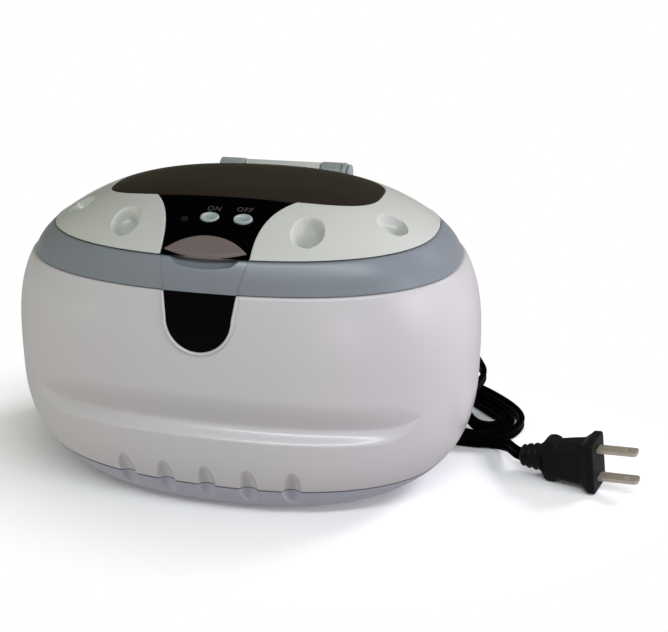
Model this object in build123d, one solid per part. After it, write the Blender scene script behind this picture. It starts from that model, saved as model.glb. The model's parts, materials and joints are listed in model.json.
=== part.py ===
from build123d import *

import functools
import math
import os

# Desktop ultrasonic cleaner. Millimetres, +Z up, front towards -Y.
# The origin is on the bench, under the centre of the casing.

# Casing: one egg-shaped skin, cut into tray, shell and ring
body_half_length = 103.0
body_half_width = 71.0
widest_z = 52.0
upper_reach = 75.5          # height over which the skin would close above the widest level
lower_reach = 60.4          # and below it
width_share = 0.576         # how much of each step in half length the half width takes
corner_power = 2.36         # superellipse power of every level section
outline_points = 40
foot_height = 2.0
tray_top_z = 13.5
shell_bottom_z = 13.8
shell_top_z = 97.9
ring_bottom_z = 98.2
ring_top_z = 110.2
seam_z = 110.5
wall = 2.8
rim_wall = 4.8
tongue_play = 0.3
tray_floor_z = 4.4
skin_levels = (2.0, 5.0, 9.0, 13.6, 20.0, 28.0, 38.0, 52.0, 66.0, 78.0, 88.0, 98.0, 104.5, 110.5)

# Lid: a dome over the seam outline
lid_top_z = 129.3
dome_power = 3.3
lid_bottom_z = 110.7
lid_wall = 2.8
window_half_length = 59.0
window_front_y = -29.4
window_rear_y = 34.0
window_power = 3.0
window_sheet = 1.7
window_flange = 3.0
flange_depth = 3.2
screw_seat = 4.9            # depth of the lid screws' heads under the dome
grip_radius = 6.0
grip_depth = 2.1
grip_places = ((38.0, -44.0), (67.4, -23.2))

# Hinge
hinge_y = 65.0
hinge_z = 116.0
lug_radius = 5.4
lug_inner_x = 19.0
lug_outer_x = 31.2
barrel_radius = 5.0
barrel_half = 18.6
pin_radius = 1.5
pin_play = 0.05
pin_head = 2.4

# Console at the front of the deck
console_foot_half = 17.8    # half width at the seam
console_flare = 10.6        # how much wider it is at the window
console_front_y = -57.0
console_play = 0.5
console_wall = 2.2
button_y = -43.8
button_x = (-2.2, 11.6)
button_size = (7.8, 5.8)
button_stroke = 0.8
button_play = 0.25
led_place = (-12.2, -45.4)

# Badge, scoop and notches on the front
badge_top_half = 15.0
badge_radius = 13.4
badge_bottom_z = 75.1
badge_depth = 1.2
bead_width = 1.3
bead_height = 0.7
scoop_top_z = 57.9
scoop_lip_z = 38.3
scoop_end = (84.5, 47.3)
scoop_depth = 3.1
scoop_wall = 5.9
notch_pitch = 17.6
notch_middle_x = 0.5
notch_low_z = 5.0
notch_high_z = 24.5
notch_lift = 2.0            # how far each notch's ellipsoid is centred outside its chord
notch_size = (3.95, 2.72, 13.9)

# Tank
tank_centre_y = 5.0
tank_half = (74.0, 42.0)
tank_power = 3.0
tank_gauge = 0.9
deck_bottom_z = 101.2
deck_top_z = 104.0
gasket_height = 0.8
rim_width = 4.5
tank_sections = ((104.2, 0.0), (97.0, 0.3), (89.0, 0.6), (80.0, 0.9), (70.0, 1.3), (62.0, 1.9), (56.0, 2.8),
                 (52.0, 4.6), (49.9, 7.8), (49.2, 12.0))

# Transducer under the tank
stack_y = 5.0
stack_radius = 17.5
horn_radius = 22.0
horn_bottom_z = 35.2
ring_height = 5.0
electrode = 0.3
back_mass = (12.6, 24.4)
bolt_radius = 4.0

# Power cord
cord_diameter = 5.0
cord_exit = (50.0, 62.0, 38.0)
cord_heading = (0.35, 0.937, 0.0)
boot_length = 30.0
exit_route = (
    (60.5, 90.1, 38.0), (66.5, 101.5, 36.8), (77.5, 107.5, 33.0), (89.5, 105.0, 27.0), (97.5, 96.5, 20.5),
    (100.5, 86.0, 14.6), (101.8, 75.5, 12.0), (101.4, 65.0, 11.8), (101.6, 55.5, 8.8), (104.2, 46.5, 4.4),
    (109.2, 39.0, 3.2),
)
plug_route = (
    (101.0, 27.5, 3.2), (108.0, 28.4, 3.2), (113.6, 26.0, 3.6), (117.2, 18.5, 5.8), (119.5, 12.6, 7.0),
    (122.4, 8.6, 7.2), (126.5, 6.9, 7.8),
)
hank_middle = (98.0, 47.5)
hank_heading = (-0.7, 0.714)
hank_run = 98.0
hank_outer = 23.0
hank_inner = 11.0
hank_height = 6.6

# Plug: lying on its narrow edge, blades one above the other, leaning on its knob and flange
plug_start = (123.6, 7.7, 7.4)
plug_turn = -15.0
plug_tilt = 8.0
relief_length = 10.0
relief_ends = (4.5, 6.2)
relief_groove = 1.0
grip_length = 17.5
grip_start = (13.5, 11.5)
grip_end = (19.5, 14.5)
knob_reach = 9.3
knob_length = 4.6
knob_width = 9.0
flare_length = 3.5
plug_face = (23.2, 18.0)
flange_thick = 3.0
blade_gap = 12.7
blade_size = (16.5, 6.35, 1.5)
blade_hole = 1.6

# Fasteners and feet
tray_screw_places = ((66.0, 12.0), (-66.0, 12.0), (66.0, -12.0), (-66.0, -12.0))
foot_places = ((51.0, 33.0), (-51.0, 33.0), (51.0, -33.0), (-51.0, -33.0))
foot_radius = 7.0
board_centre = (-41.5, 0.0)
board_size = (34.0, 72.0, 1.6)
board_z = 9.4
board_hole_inset = 3.2


def half_length(z):
    """Half length of the skin at a height: a cube-power oval about the widest level."""
    reach = upper_reach if z > widest_z else lower_reach
    return body_half_length * (1 - (abs(z - widest_z) / reach) ** 3) ** (1 / 3)


def half_width(z):
    return body_half_width - width_share * (body_half_length - half_length(z))


def spread(x, y, a, b):
    """Superellipse radius of a point: 1 on the oval with half sizes a and b."""
    return (abs(x / a) ** corner_power + abs(y / b) ** corner_power) ** (1 / corner_power)


def oval(a, b, z, power=corner_power, middle_y=0.0):
    """Closed superellipse wire at a height."""
    points = []
    for step in range(outline_points):
        turn = 2 * math.pi * step / outline_points
        c, s = math.cos(turn), math.sin(turn)
        x = a * math.copysign(abs(c) ** (2 / power), c)
        y = b * math.copysign(abs(s) ** (2 / power), s)
        points.append((x, middle_y + y, z))
    return Wire([Edge.make_spline(points, periodic=True)])


def prism(wire, height):
    return Part() + Solid.extrude(Face(wire), Vector(0, 0, height))


def slab(low, high):
    return Pos(0, 0, (low + high) / 2) * Box(400, 400, high - low)


@functools.lru_cache(maxsize=None)
def whole_skin(inset):
    """Solid of the casing, moved inwards by a fixed step, or by inset(z) at each level."""
    step = inset if callable(inset) else lambda z: inset
    wires = [oval(half_length(z) - step(z), half_width(z) - step(z), z) for z in skin_levels]
    return Part() + Solid.make_loft(wires)


def skin(inset, low=None, high=None):
    if low is None:
        return whole_skin(inset)
    return whole_skin(inset) & slab(low, high)


def surface_y(x, z, inset=0.0):
    """Y of the front of the skin above a point of the bench."""
    a, b = half_length(z) - inset, half_width(z) - inset
    return -b * (1 - abs(x / a) ** corner_power) ** (1 / corner_power)


def front_prism(wire_face, depth_from=-120.0, depth_to=-15.0):
    """Front outline, drawn in X and Z, carried back from depth_from to depth_to."""
    return Part() + Solid.extrude(Pos(0, depth_from, 0) * wire_face, Vector(0, depth_to - depth_from, 0))


def front_face(edges):
    return Face(Wire(edges))


def join(*shapes):
    whole = Part()
    for shape in shapes:
        whole = whole + shape
    return whole


seam_half = (half_length(seam_z), half_width(seam_z))


def dome_z(x, y):
    """Height of the lid's top: the drop grows with a power of the superellipse radius."""
    return seam_z + (lid_top_z - seam_z) * (1 - spread(x, y, *seam_half) ** dome_power)


def dome_solid():
    columns, rows, reach_x, reach_y = 48, 36, 90.0, 66.0
    grid = []
    for i in range(columns + 1):
        x = -reach_x + 2 * reach_x * i / columns
        grid.append([Vector(x, y, dome_z(x, y)) for y in
                     (-reach_y + 2 * reach_y * j / rows for j in range(rows + 1))])
    face = Face.make_surface_from_array_of_points(grid, tol=0.01, min_deg=3, max_deg=6)
    return Part() + Solid.extrude(face, Vector(0, 0, -60))


dome = dome_solid()


def under_dome(drop):
    return Pos(0, 0, -drop) * dome


def layer(top_drop, low_drop):
    """Sheet between two copies of the dome."""
    return under_dome(top_drop) - under_dome(low_drop)


def window_prism(grow):
    """Plan of the window: flat-fronted oval, deeper at the back than at the front."""
    middle = (window_front_y + window_rear_y) / 2
    depth = (window_rear_y - window_front_y) / 2
    return prism(oval(window_half_length + grow, depth + grow, 90, window_power, middle), 50)


def console_prism(grow, rear_y):
    """Plan of the console: widening from the seam towards the window."""
    front = -seam_half[1] - 3
    side = []
    for share in (0.0, 0.25, 0.5, 0.75, 1.0):
        y = console_front_y + (rear_y - console_front_y) * share
        side.append((console_foot_half + console_flare * ((y - console_front_y) / 28.0) ** 2 + grow, y))
    right = [(x, y, 90) for x, y in side]
    left = [(-x, y, 90) for x, y in side]
    foot = side[0][0]
    edges = [
        Edge.make_line((-foot, front, 90), (foot, front, 90)),
        Edge.make_line((foot, front, 90), right[0]),
        Edge.make_spline(right),
        Edge.make_line(right[-1], left[-1]),
        Edge.make_spline(left),
        Edge.make_line(left[0], (-foot, front, 90)),
    ]
    return prism(Wire(edges), 50)


def casing_hollow(z):
    """Depth of the shell's inner face: thicker behind the scoop."""
    if 34.0 < z < 62.0:
        return scoop_wall
    return wall


def badge_face(grow):
    """U outline: tapering sides over a half circle."""
    radius = badge_radius + grow
    middle_z = badge_bottom_z + badge_radius
    half = badge_top_half + grow
    top = shell_top_z + 1.0
    return front_face([
        Edge.make_line((-half, 0, top), (half, 0, top)),
        Edge.make_line((half, 0, top), (radius, 0, middle_z)),
        Edge.make_three_point_arc((radius, 0, middle_z), (0, 0, middle_z - radius), (-radius, 0, middle_z)),
        Edge.make_line((-radius, 0, middle_z), (-half, 0, top)),
    ])


def scoop_tool():
    """Sweep of the lower front: shallow at its top edge, deepest above the lip."""
    end_x, end_z = scoop_end
    low = [(end_x, 0, end_z), (77, 0, 39.8), (60, 0, 38.4), (0, 0, scoop_lip_z),
           (-60, 0, 38.4), (-77, 0, 39.8), (-end_x, 0, end_z)]
    high = [(-end_x, 0, end_z), (-77, 0, 52.6), (-54, 0, 55.8), (0, 0, scoop_top_z),
            (54, 0, 55.8), (77, 0, 52.6), (end_x, 0, end_z)]
    region = front_prism(front_face([Edge.make_spline(low), Edge.make_spline(high)]))

    def depth(z):
        if z >= 61:
            return 0.5
        if z >= 47:
            return 1.9
        return scoop_depth
    return region & (skin(-2.0) - skin(depth))


def notch_tool():
    """Leaf-shaped scoops across the joint of shell and tray: ellipsoids that lean with the skin."""
    tools = []
    for index in range(-2, 3):
        x = notch_middle_x + index * notch_pitch
        low = Vector(x, surface_y(x, notch_low_z), notch_low_z)
        high = Vector(x, surface_y(x, notch_high_z), notch_high_z)
        middle_z = (notch_low_z + notch_high_z) / 2
        across = Vector(1, surface_y(x + 0.5, middle_z) - surface_y(x - 0.5, middle_z), 0)
        outward = across.cross(high - low).normalized()
        outward = outward if outward.Y < 0 else -outward
        place = Plane(origin=(low + high) / 2 + outward * notch_lift, x_dir=across, z_dir=high - low)
        tools.append(place * scale(Sphere(1), by=notch_size))
    return join(*tools)


def make_shell():
    shell = skin(0.0, shell_bottom_z, shell_top_z) - skin(casing_hollow)
    bead = front_prism(badge_face(bead_width)) & (skin(-bead_height) - skin(1.0))
    shell = shell + (bead & slab(shell_bottom_z, shell_top_z))
    shell = shell - (front_prism(badge_face(0.0)) & (skin(-3.0) - skin(badge_depth)))
    shell = shell - scoop_tool() - notch_tool()
    posts = []
    for x, y in tray_screw_places:
        side = math.copysign(1, x)
        post = Pos(x, y, 26) * Cylinder(4.0, 33.8)
        rib = Pos(x + side * 17, y, 33) * Box(34, 2.0, 20)
        posts.append(post + rib)
    posts = join(*posts) & skin(1.0)
    shell = shell + posts
    for x, y in tray_screw_places:
        shell = shell - Pos(x, y, 18) * Cylinder(1.5, 22)
    hole = boot_frame() * Cylinder(5.05, 40)
    return shell - hole


def make_tray():
    tray = skin(0.0, foot_height, tray_top_z) - skin(rim_wall, tray_floor_z, 60)
    tongue = skin(wall + tongue_play) - skin(rim_wall)
    tray = tray + (tongue & slab(tray_top_z - 0.5, tray_top_z + 3.5)) - notch_tool()
    for x, y in tray_screw_places:
        tray = tray + Pos(x, y, 5.5) * Cylinder(5.0, 7.0)
        tray = tray - Pos(x, y, 3.5) * Cylinder(3.3, 3.0) - Pos(x, y, 6) * Cylinder(1.8, 10)
    for x, y in foot_places:
        tray = tray - Pos(x, y, foot_height + 0.5) * Cylinder(foot_radius + 0.05, 1.0)
    for x, y in board_corners():
        post = Pos(x, y, (board_z + tray_floor_z) / 2) * Cylinder(2.8, board_z - tray_floor_z)
        tray = tray + post - Pos(x, y, board_z - 2.0) * Cylinder(1.1, 4.0)
    for side in (-1, 1):
        for index in range(5):
            tray = tray - Pos(side * 18 + 0.0, (index - 2) * 7.0, 3.2) * Box(24, 2.6, 4)
    return tray


def board_corners():
    dx = board_size[0] / 2 - board_hole_inset
    dy = board_size[1] / 2 - board_hole_inset
    return [(board_centre[0] + i * dx, board_centre[1] + j * dy) for i in (-1, 1) for j in (-1, 1)]


def insert_prism(play):
    top, low = badge_top_half + 2.9 - play, badge_top_half - play
    corners = [(-top, 0, seam_z + 1), (top, 0, seam_z + 1), (low, 0, ring_bottom_z),
               (low, 0, ring_bottom_z - 2), (-low, 0, ring_bottom_z - 2), (-low, 0, ring_bottom_z)]
    return front_prism(Face(Wire.make_polygon(corners, close=True)))


def yz_bar(corners, low_x, high_x):
    """Bar along X with a section drawn in Y and Z."""
    face = Face(Wire.make_polygon([(low_x, y, z) for y, z in corners], close=True))
    return Part() + Solid.extrude(face, Vector(high_x - low_x, 0, 0))


def x_rod(radius, low_x, high_x, y=hinge_y, z=hinge_z):
    middle = (low_x + high_x) / 2
    return Pos(middle, y, z) * Rot(0, 90, 0) * Cylinder(radius, high_x - low_x)


def make_ring():
    ring = skin(0.0, ring_bottom_z, ring_top_z)
    ring = ring - skin(rim_wall, 90, deck_bottom_z) - skin(wall, deck_top_z, seam_z)
    tongue = skin(wall + tongue_play) - skin(rim_wall)
    ring = ring + (tongue & slab(ring_bottom_z - 4.0, ring_bottom_z + 0.5))
    ring = ring - prism(tank_oval(1.2, 90), 30)
    ring = ring - (insert_prism(0.0) & (skin(-2.0) - skin(rim_wall + 0.2)))
    ring = ring - Pos(0, -47.75, deck_top_z) * Box(16, 5.5, 20)
    lug_section = ((60.6, hinge_z), (60.6, 110.0), (58.8, 108.2), (58.8, 100.0), (64.8, 100.0),
                   (hinge_y + lug_radius, 111.0), (hinge_y + lug_radius, hinge_z))
    for side in (-1, 1):
        low, high = sorted((side * lug_inner_x, side * lug_outer_x))
        ring = ring + yz_bar(lug_section, low, high) + x_rod(lug_radius, low, high)
    return ring - x_rod(pin_radius, -lug_outer_x + 2.0, lug_outer_x + 1.0)


def make_insert():
    insert = insert_prism(0.15) & (skin(0.0, ring_bottom_z, ring_top_z) - skin(rim_wall))
    return insert - Pos(0, -60.4, ring_top_z + 0.3) * scale(Sphere(1), by=(15.5, 3.9, 3.5))


def make_badge():
    return front_prism(badge_face(-0.1)) & (skin(0.1, 60, shell_top_z) - skin(badge_depth - 0.05))


def tank_oval(grow, z):
    return oval(tank_half[0] + grow, tank_half[1] + grow, z, tank_power, tank_centre_y)


def make_tank():
    def bowl(gauge):
        wires = [tank_oval(-inset - gauge, z + gauge) for z, inset in tank_sections]
        return Part() + Solid.make_loft(wires)
    rim_z = deck_top_z + gasket_height
    rim = prism(tank_oval(rim_width, rim_z), tank_gauge)
    collar = prism(tank_oval(0.0, rim_z - 0.9), 0.9 + tank_gauge)
    mouth = prism(tank_oval(-tank_gauge, 100), 20)
    return bowl(0.0) + collar + rim - (bowl(tank_gauge) + mouth)


def make_gasket():
    outer = prism(tank_oval(rim_width, deck_top_z), gasket_height)
    return outer - prism(tank_oval(0.3, deck_top_z - 1), 5)


def rod(radius, low, high, x=0.0, y=stack_y):
    return Pos(x, y, (low + high) / 2) * Cylinder(radius, high - low)


def stack_levels():
    """Bottom heights of lower electrode, lower ring, upper electrode and upper ring."""
    lower_electrode = back_mass[1]
    lower_ring = lower_electrode + electrode
    upper_electrode = lower_ring + ring_height
    upper_ring = upper_electrode + electrode
    return lower_electrode, lower_ring, upper_electrode, upper_ring


def make_transducer():
    lower_electrode, lower_ring, upper_electrode, upper_ring = stack_levels()
    tank_floor_z = tank_sections[-1][0]
    top_of_stack = upper_ring + ring_height
    horn = rod(stack_radius, top_of_stack, top_of_stack + 4.0)
    flare = Solid.make_cone(stack_radius, horn_radius, tank_floor_z - top_of_stack - 4.0)
    horn = horn + Pos(0, stack_y, top_of_stack + 4.0) * flare - rod(bolt_radius, 30, 46)
    bore = rod(bolt_radius + 2.5, 20, 40)
    rings = join(rod(stack_radius, lower_ring, lower_ring + ring_height),
                 rod(stack_radius, upper_ring, upper_ring + ring_height)) - bore
    plates = []
    for z, side in ((lower_electrode, -1), (upper_electrode, 1)):
        tab = Pos(-stack_radius - 2, stack_y + side * 6, z + electrode / 2) * Box(9, 4, electrode)
        plates.append(rod(stack_radius - 0.4, z, z + electrode) + tab - bore)
    mass = rod(stack_radius, *back_mass) - rod(bolt_radius + 0.1, 0, 30) - rod(7.1, 0, back_mass[0] + 6.5)
    bolt = rod(bolt_radius, back_mass[0] + 2, 44) + rod(7.0, back_mass[0] - 0.5, back_mass[0] + 6.5)
    socket = Pos(0, stack_y, back_mass[0] - 0.5) * extrude(RegularPolygon(3.5, 6), 4)
    return {
        "transducer_horn": horn,
        "piezo_rings": rings,
        "electrode_plates": join(*plates),
        "transducer_back_mass": mass,
        "transducer_bolt": bolt - socket,
    }


def make_electronics():
    top = board_z + board_size[2]
    bx, by = board_centre
    board = Pos(bx, by, board_z + board_size[2] / 2) * Box(*board_size)
    screws = []
    for x, y in board_corners():
        board = board - Pos(x, y, board_z) * Cylinder(1.2, 8)
        screws.append(rod(1.05, board_z - 3.5, top, x, y) + rod(2.2, top, top + 1.5, x, y))
    middle = Pos(bx - 3, by + 2, top + 10)
    core = middle * (Box(8, 25, 20) - Pos(0, 6.5, 0) * Box(10, 6, 13) - Pos(0, -6.5, 0) * Box(10, 6, 13))
    winding = middle * (Box(19, 18.4, 12.4) - Box(8.2, 7.2, 14))
    sink = Pos(bx + 11, by - 14, top + 13) * Box(2.2, 34, 26)
    for index in range(5):
        sink = sink + Pos(bx + 13.5, by - 28 + index * 7, top + 14) * Box(5, 1.4, 24)
    packages = [Pos(bx + 8.2, by - 14 + side * 8.5, top + 13) * Box(3.2, 10, 15) for side in (-1, 1)]
    block = Pos(bx - 8, by + 25, top + 5) * Box(10, 9, 10)
    for side in (-1, 1):
        block = block - Pos(bx - 8 + side * 2.4, by + 25, top + 8) * Cylinder(1.6, 6)
    return {
        "driver_board": board,
        "board_screws": join(*screws),
        "drive_transformer": core + winding,
        "filter_capacitor": rod(6.5, top, top + 24, bx + 6, by + 21),
        "heat_sink": sink,
        "power_transistors": join(*packages),
        "terminal_block": block,
    }


def tilt_at(x, y):
    """Plane on the dome at a point, its Z along the outward normal."""
    step = 0.5
    slope = (dome_z(x, y + step) - dome_z(x, y - step)) / (2 * step)
    return Plane(origin=(x, y, dome_z(x, y)), x_dir=(1, 0, 0), z_dir=(0, -slope, 1))


button_plane = tilt_at(sum(button_x) / 2, button_y)
press_heading = -button_plane.z_dir


def on_panel(x, height):
    """Place in the button plane: across by x from the object's middle, and along its normal."""
    return button_plane * Pos(x - button_plane.origin.X, 0, height)


def oval_rod(width, depth, low, high, x):
    return on_panel(x, low) * extrude(Ellipse(width / 2, depth / 2), high - low)


def almond_prism(grow):
    """Plan of the lip at the foot of the console: two arcs that meet in points."""
    tip, tip_y, rear_y, front_y = 17.0 + grow, -57.3, -52.0 + grow, -59.9 - grow
    edges = [
        Edge.make_three_point_arc((-tip, tip_y, 90), (0, rear_y, 90), (tip, tip_y, 90)),
        Edge.make_three_point_arc((tip, tip_y, 90), (0, front_y, 90), (-tip, tip_y, 90)),
    ]
    return prism(Wire(edges), 50)


def make_console():
    rear = window_front_y - console_play
    seam_limit = prism(oval(seam_half[0] - 0.3, seam_half[1] - 0.3, 90), 50)
    upper = under_dome(0.0) & console_prism(0.0, rear) & seam_limit & slab(lid_bottom_z, 135)
    upper = upper & (Pos(0, -80, 120) * Box(200, 2 * (80 + rear), 60))
    foot_zone = Pos(0, -47.35, 110) * Box(2 * console_foot_half, 10.3, 12.0)
    shelf_zone = Pos(0, (rear - 52.5) / 2, 108.5) * Box(200, rear + 52.5, 4.6)
    lower = console_prism(0.0, rear) & shelf_zone
    body = upper + lower + (foot_zone & slab(deck_top_z, 112))
    hollow = under_dome(console_wall) & console_prism(-1.8, rear) & slab(107.8, 135)
    hollow = hollow & (Pos(0, (rear - 1.8 - 51.0) / 2, 120) * Box(200, rear - 1.8 + 51.0, 60))
    foot_hollow = Pos(0, -47.4, 106) * Box(2 * console_foot_half - 3.6, 7.2, 12.0)
    body = body - hollow - foot_hollow
    body = body - (almond_prism(0.0) & layer(-3.0, 1.0))
    for x in button_x:
        body = body - oval_rod(button_size[0] + 2 * button_play, button_size[1] + 2 * button_play, -6, 6, x)
    led = tilt_at(*led_place) * Pos(0, 0, -2)
    return body - led * Cylinder(1.55, 12)


def make_lens():
    return almond_prism(-0.1) & layer(-0.5, 0.95)


def make_led():
    return tilt_at(*led_place) * Pos(0, 0, -2.2) * Cylinder(1.5, 5.0)


def make_button(x):
    cap = oval_rod(button_size[0], button_size[1], -5.0, 0.9, x)
    edge = cap.edges().sort_by(Axis(button_plane.origin, button_plane.z_dir))[-1]
    cap = fillet(edge, 0.5)
    return cap + oval_rod(button_size[0] + 1.6, button_size[1] + 1.6, -5.6, -4.4, x)


def make_plunger(x):
    return on_panel(x, -6.9) * Cylinder(1.5, 2.6)


def make_switches():
    parts = []
    for x in button_x:
        case = on_panel(x, -9.3) * Box(6, 6, 3)
        parts.append(case - on_panel(x, -8.4) * Cylinder(1.65, 2.4))
    return join(*parts)


def make_switch_board():
    middle = button_plane.origin.X - 3.0
    return on_panel(middle, -11.4) * Box(32, 11, 1.2)


def lid_keep_out(rear_y):
    """Room for the console inside the lid's front notch."""
    return console_prism(console_play, rear_y) & (Pos(0, rear_y - 50, 120) * Box(200, 100, 80))


def make_lid_frame():
    outline = prism(oval(seam_half[0], seam_half[1], lid_bottom_z), 30)
    frame = layer(0.0, lid_wall) & outline
    frame = frame - window_prism(0.0)
    frame = frame - (window_prism(window_flange + 0.1) & layer(window_sheet, 12))
    cup_radius = (grip_radius ** 2 + grip_depth ** 2) / (2 * grip_depth)
    for x, y in grip_places:
        for side in (-1, 1):
            place = tilt_at(side * x, y)
            slope_x = (dome_z(side * x + 0.5, y) - dome_z(side * x - 0.5, y))
            slope_y = (dome_z(x, y + 0.5) - dome_z(x, y - 0.5))
            cup = Plane(origin=place.origin, z_dir=(-slope_x, -slope_y, 1))
            frame = frame + (cup * Pos(0, 0, -1.9) * Cylinder(grip_radius, 3.8) & under_dome(0.2) & outline)
            frame = frame - cup * Pos(0, 0, cup_radius - grip_depth) * Sphere(cup_radius)
    frame = frame - lid_keep_out(window_front_y + 0.4)
    arm_section = ((53.0, 114.2), (53.0, 116.4), (60.0, 119.6), (hinge_y, hinge_z + barrel_radius),
                   (hinge_y, hinge_z - barrel_radius), (61.0, 110.95), (58.6, 110.95))
    frame = frame + yz_bar(arm_section, -barrel_half, barrel_half)
    frame = frame + x_rod(barrel_radius, -barrel_half, barrel_half)
    frame = frame - x_rod(pin_radius + pin_play, -barrel_half - 1, barrel_half + 1)
    for x, y in lid_screw_places():
        frame = frame - rod(0.9, dome_z(x, y) - 6, dome_z(x, y) - 0.9, x, y)
    return frame


def lid_screw_places():
    return [(64.8, 6.0), (-64.8, 6.0), (42.0, 34.0), (-42.0, 34.0)]


def make_window():
    sheet = layer(0.0, window_sheet) & window_prism(-0.12)
    flange = layer(window_sheet - 0.3, flange_depth) & window_prism(window_flange)
    flange = flange & (layer(window_sheet + 0.05, 12) + window_prism(-0.12))
    return sheet + flange - lid_keep_out(window_front_y)


def make_inner_frame():
    ring = (window_prism(7.0) - window_prism(-3.5)) & layer(flange_depth + 0.05, flange_depth + 2.0)
    ring = ring & (window_prism(window_flange + 0.05) + layer(0, 20))
    ears = []
    for x, y in lid_screw_places():
        ears.append(rod(3.6, 100, 130, x, y) & layer(flange_depth + 0.05, flange_depth + 2.0))
    ring = ring + join(*ears)
    ring = ring & prism(oval(seam_half[0] - 6.5, seam_half[1] - 6.5, 90), 50)
    for x, y in lid_screw_places():
        ring = ring - rod(1.0, 90, 140, x, y) - rod(2.4, 90, dome_z(x, y) - screw_seat, x, y)
    return ring - lid_keep_out(window_front_y)


def make_lid_screws():
    screws = []
    for x, y in lid_screw_places():
        z = dome_z(x, y)
        shank = rod(0.88, z - screw_seat, z - 1.1, x, y)
        screws.append(shank + rod(1.9, z - screw_seat - 2.0, z - screw_seat, x, y))
    return join(*screws)


def make_pin():
    head = x_rod(lug_radius - 0.6, lug_outer_x, lug_outer_x + pin_head)
    return x_rod(pin_radius, -lug_outer_x + 2.2, lug_outer_x) + fillet(head.edges(), 0.6)


def boot_frame():
    """Frame at the cord's exit, its Z along the way out."""
    return Plane(origin=cord_exit, z_dir=cord_heading)


def make_boot():
    frame = boot_frame()
    cone = frame * Pos(0, 0, boot_length - 24.0) * Solid.make_cone(6.4, 3.7, 24.0)
    neck = frame * Pos(0, 0, -1.0) * Cylinder(5.0, 14.0)
    inner = frame * Pos(0, 0, -6.5) * Cylinder(7.0, 3.0)
    return join(cone, neck, inner)


def tube(route, diameter):
    """Round tube along straight runs joined by arcs as large as the runs allow."""
    points = [Vector(*p) for p in route]
    radii = []
    for before, here, after in zip(points, points[1:], points[2:]):
        turn = math.radians((here - before).get_angle(after - here))
        shorter = min((here - before).length, (after - here).length)
        radii.append(0.45 * shorter / math.tan(turn / 2))
    path = FilletPolyline(*points, radius=radii)
    start = Plane(origin=path @ 0, z_dir=path % 0)
    solid = sweep(start * Circle(diameter / 2), path=path)
    length = path.length
    share = solid.volume / (math.pi * diameter ** 2 / 4 * length)
    print("tube length", round(length, 1), "volume share", round(share, 4))
    print("radii", [round(r, 1) for r in radii])
    return solid


def make_hank():
    """Oval ring of cord lying on the bench, one closed solid of its outer shape."""
    heading = Vector(*hank_heading).normalized()
    angle = math.degrees(math.atan2(heading.Y, heading.X))
    middle = Vector(*hank_middle) + heading * (hank_run / 2)
    outer = SlotCenterToCenter(hank_run, 2 * hank_outer)
    inner = SlotCenterToCenter(hank_run, 2 * hank_inner)
    return Pos(middle.X, middle.Y, 0) * Rot(0, 0, angle) * extrude(outer - inner, hank_height)


def plug_frame():
    return Pos(*plug_start) * Rot(0, 0, plug_turn) * Rot(0, 90 - plug_tilt, 0)


def plug_section(z, size):
    return Plane(origin=(0, 0, z)) * RectangleRounded(size[0], size[1], 2.4)


def make_plug():
    """Moulded plug: ribbed relief, grip, flare and flange. Local X is down and local Z along the blades."""
    relief = Solid.make_cone(relief_ends[0], relief_ends[1], relief_length)
    for index in range(3):
        z = 1.8 + index * 2.7
        core = relief_ends[0] + (relief_ends[1] - relief_ends[0]) * z / relief_length - relief_groove
        relief = relief - Pos(0, 0, z) * (Cylinder(8, 1.1) - Cylinder(core, 1.1))
    flare_z = relief_length + grip_length
    flange_z = flare_z + flare_length
    grip = loft([plug_section(relief_length, grip_start), plug_section(flare_z, grip_end)])
    knob_z = relief_length + 1.6 + knob_length / 2
    knob = Pos(0, 0, knob_z) * Box(2 * knob_reach, knob_width, knob_length)
    knob = fillet(knob.edges().filter_by(Axis.Y), 1.8)
    flare = loft([plug_section(flare_z, grip_end), plug_section(flange_z, plug_face)])
    flange = extrude(plug_section(flange_z, plug_face), flange_thick)
    plug = relief + grip + knob + flare + flange
    return plug_frame() * (plug - plug_blade_shapes())


def plug_blade_shapes():
    face = relief_length + grip_length + flare_length + flange_thick
    blades = []
    for side in (-1, 1):
        blade = Pos(side * blade_gap / 2, 0, face - 6 + (blade_size[0] + 6) / 2) * Box(
            blade_size[2], blade_size[1], blade_size[0] + 6)
        tip_edges = blade.edges().filter_by(Axis.X).sort_by(Axis.Z)[-2:]
        blade = fillet(tip_edges, 1.6)
        hole_place = Pos(side * blade_gap / 2, 0, face + blade_size[0] - 4.5)
        hole = hole_place * Rot(0, 90, 0) * Cylinder(blade_hole, 4)
        blades.append(blade - hole)
    return join(*blades)


def make_feet():
    feet = []
    for x, y in foot_places:
        feet.append(fillet(rod(foot_radius, 0, foot_height + 1.0, x, y).edges().sort_by(Axis.Z)[0], 0.6))
    return join(*feet)


def make_tray_screws():
    screws = []
    for x, y in tray_screw_places:
        head = rod(3.1, 2.9, 4.9, x, y)
        cross = Box(0.9, 4, 1.0) + Box(4, 0.9, 1.0)
        screws.append(head - Pos(x, y, 3.2) * cross + rod(1.45, 4.9, 24, x, y))
    return join(*screws)


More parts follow.
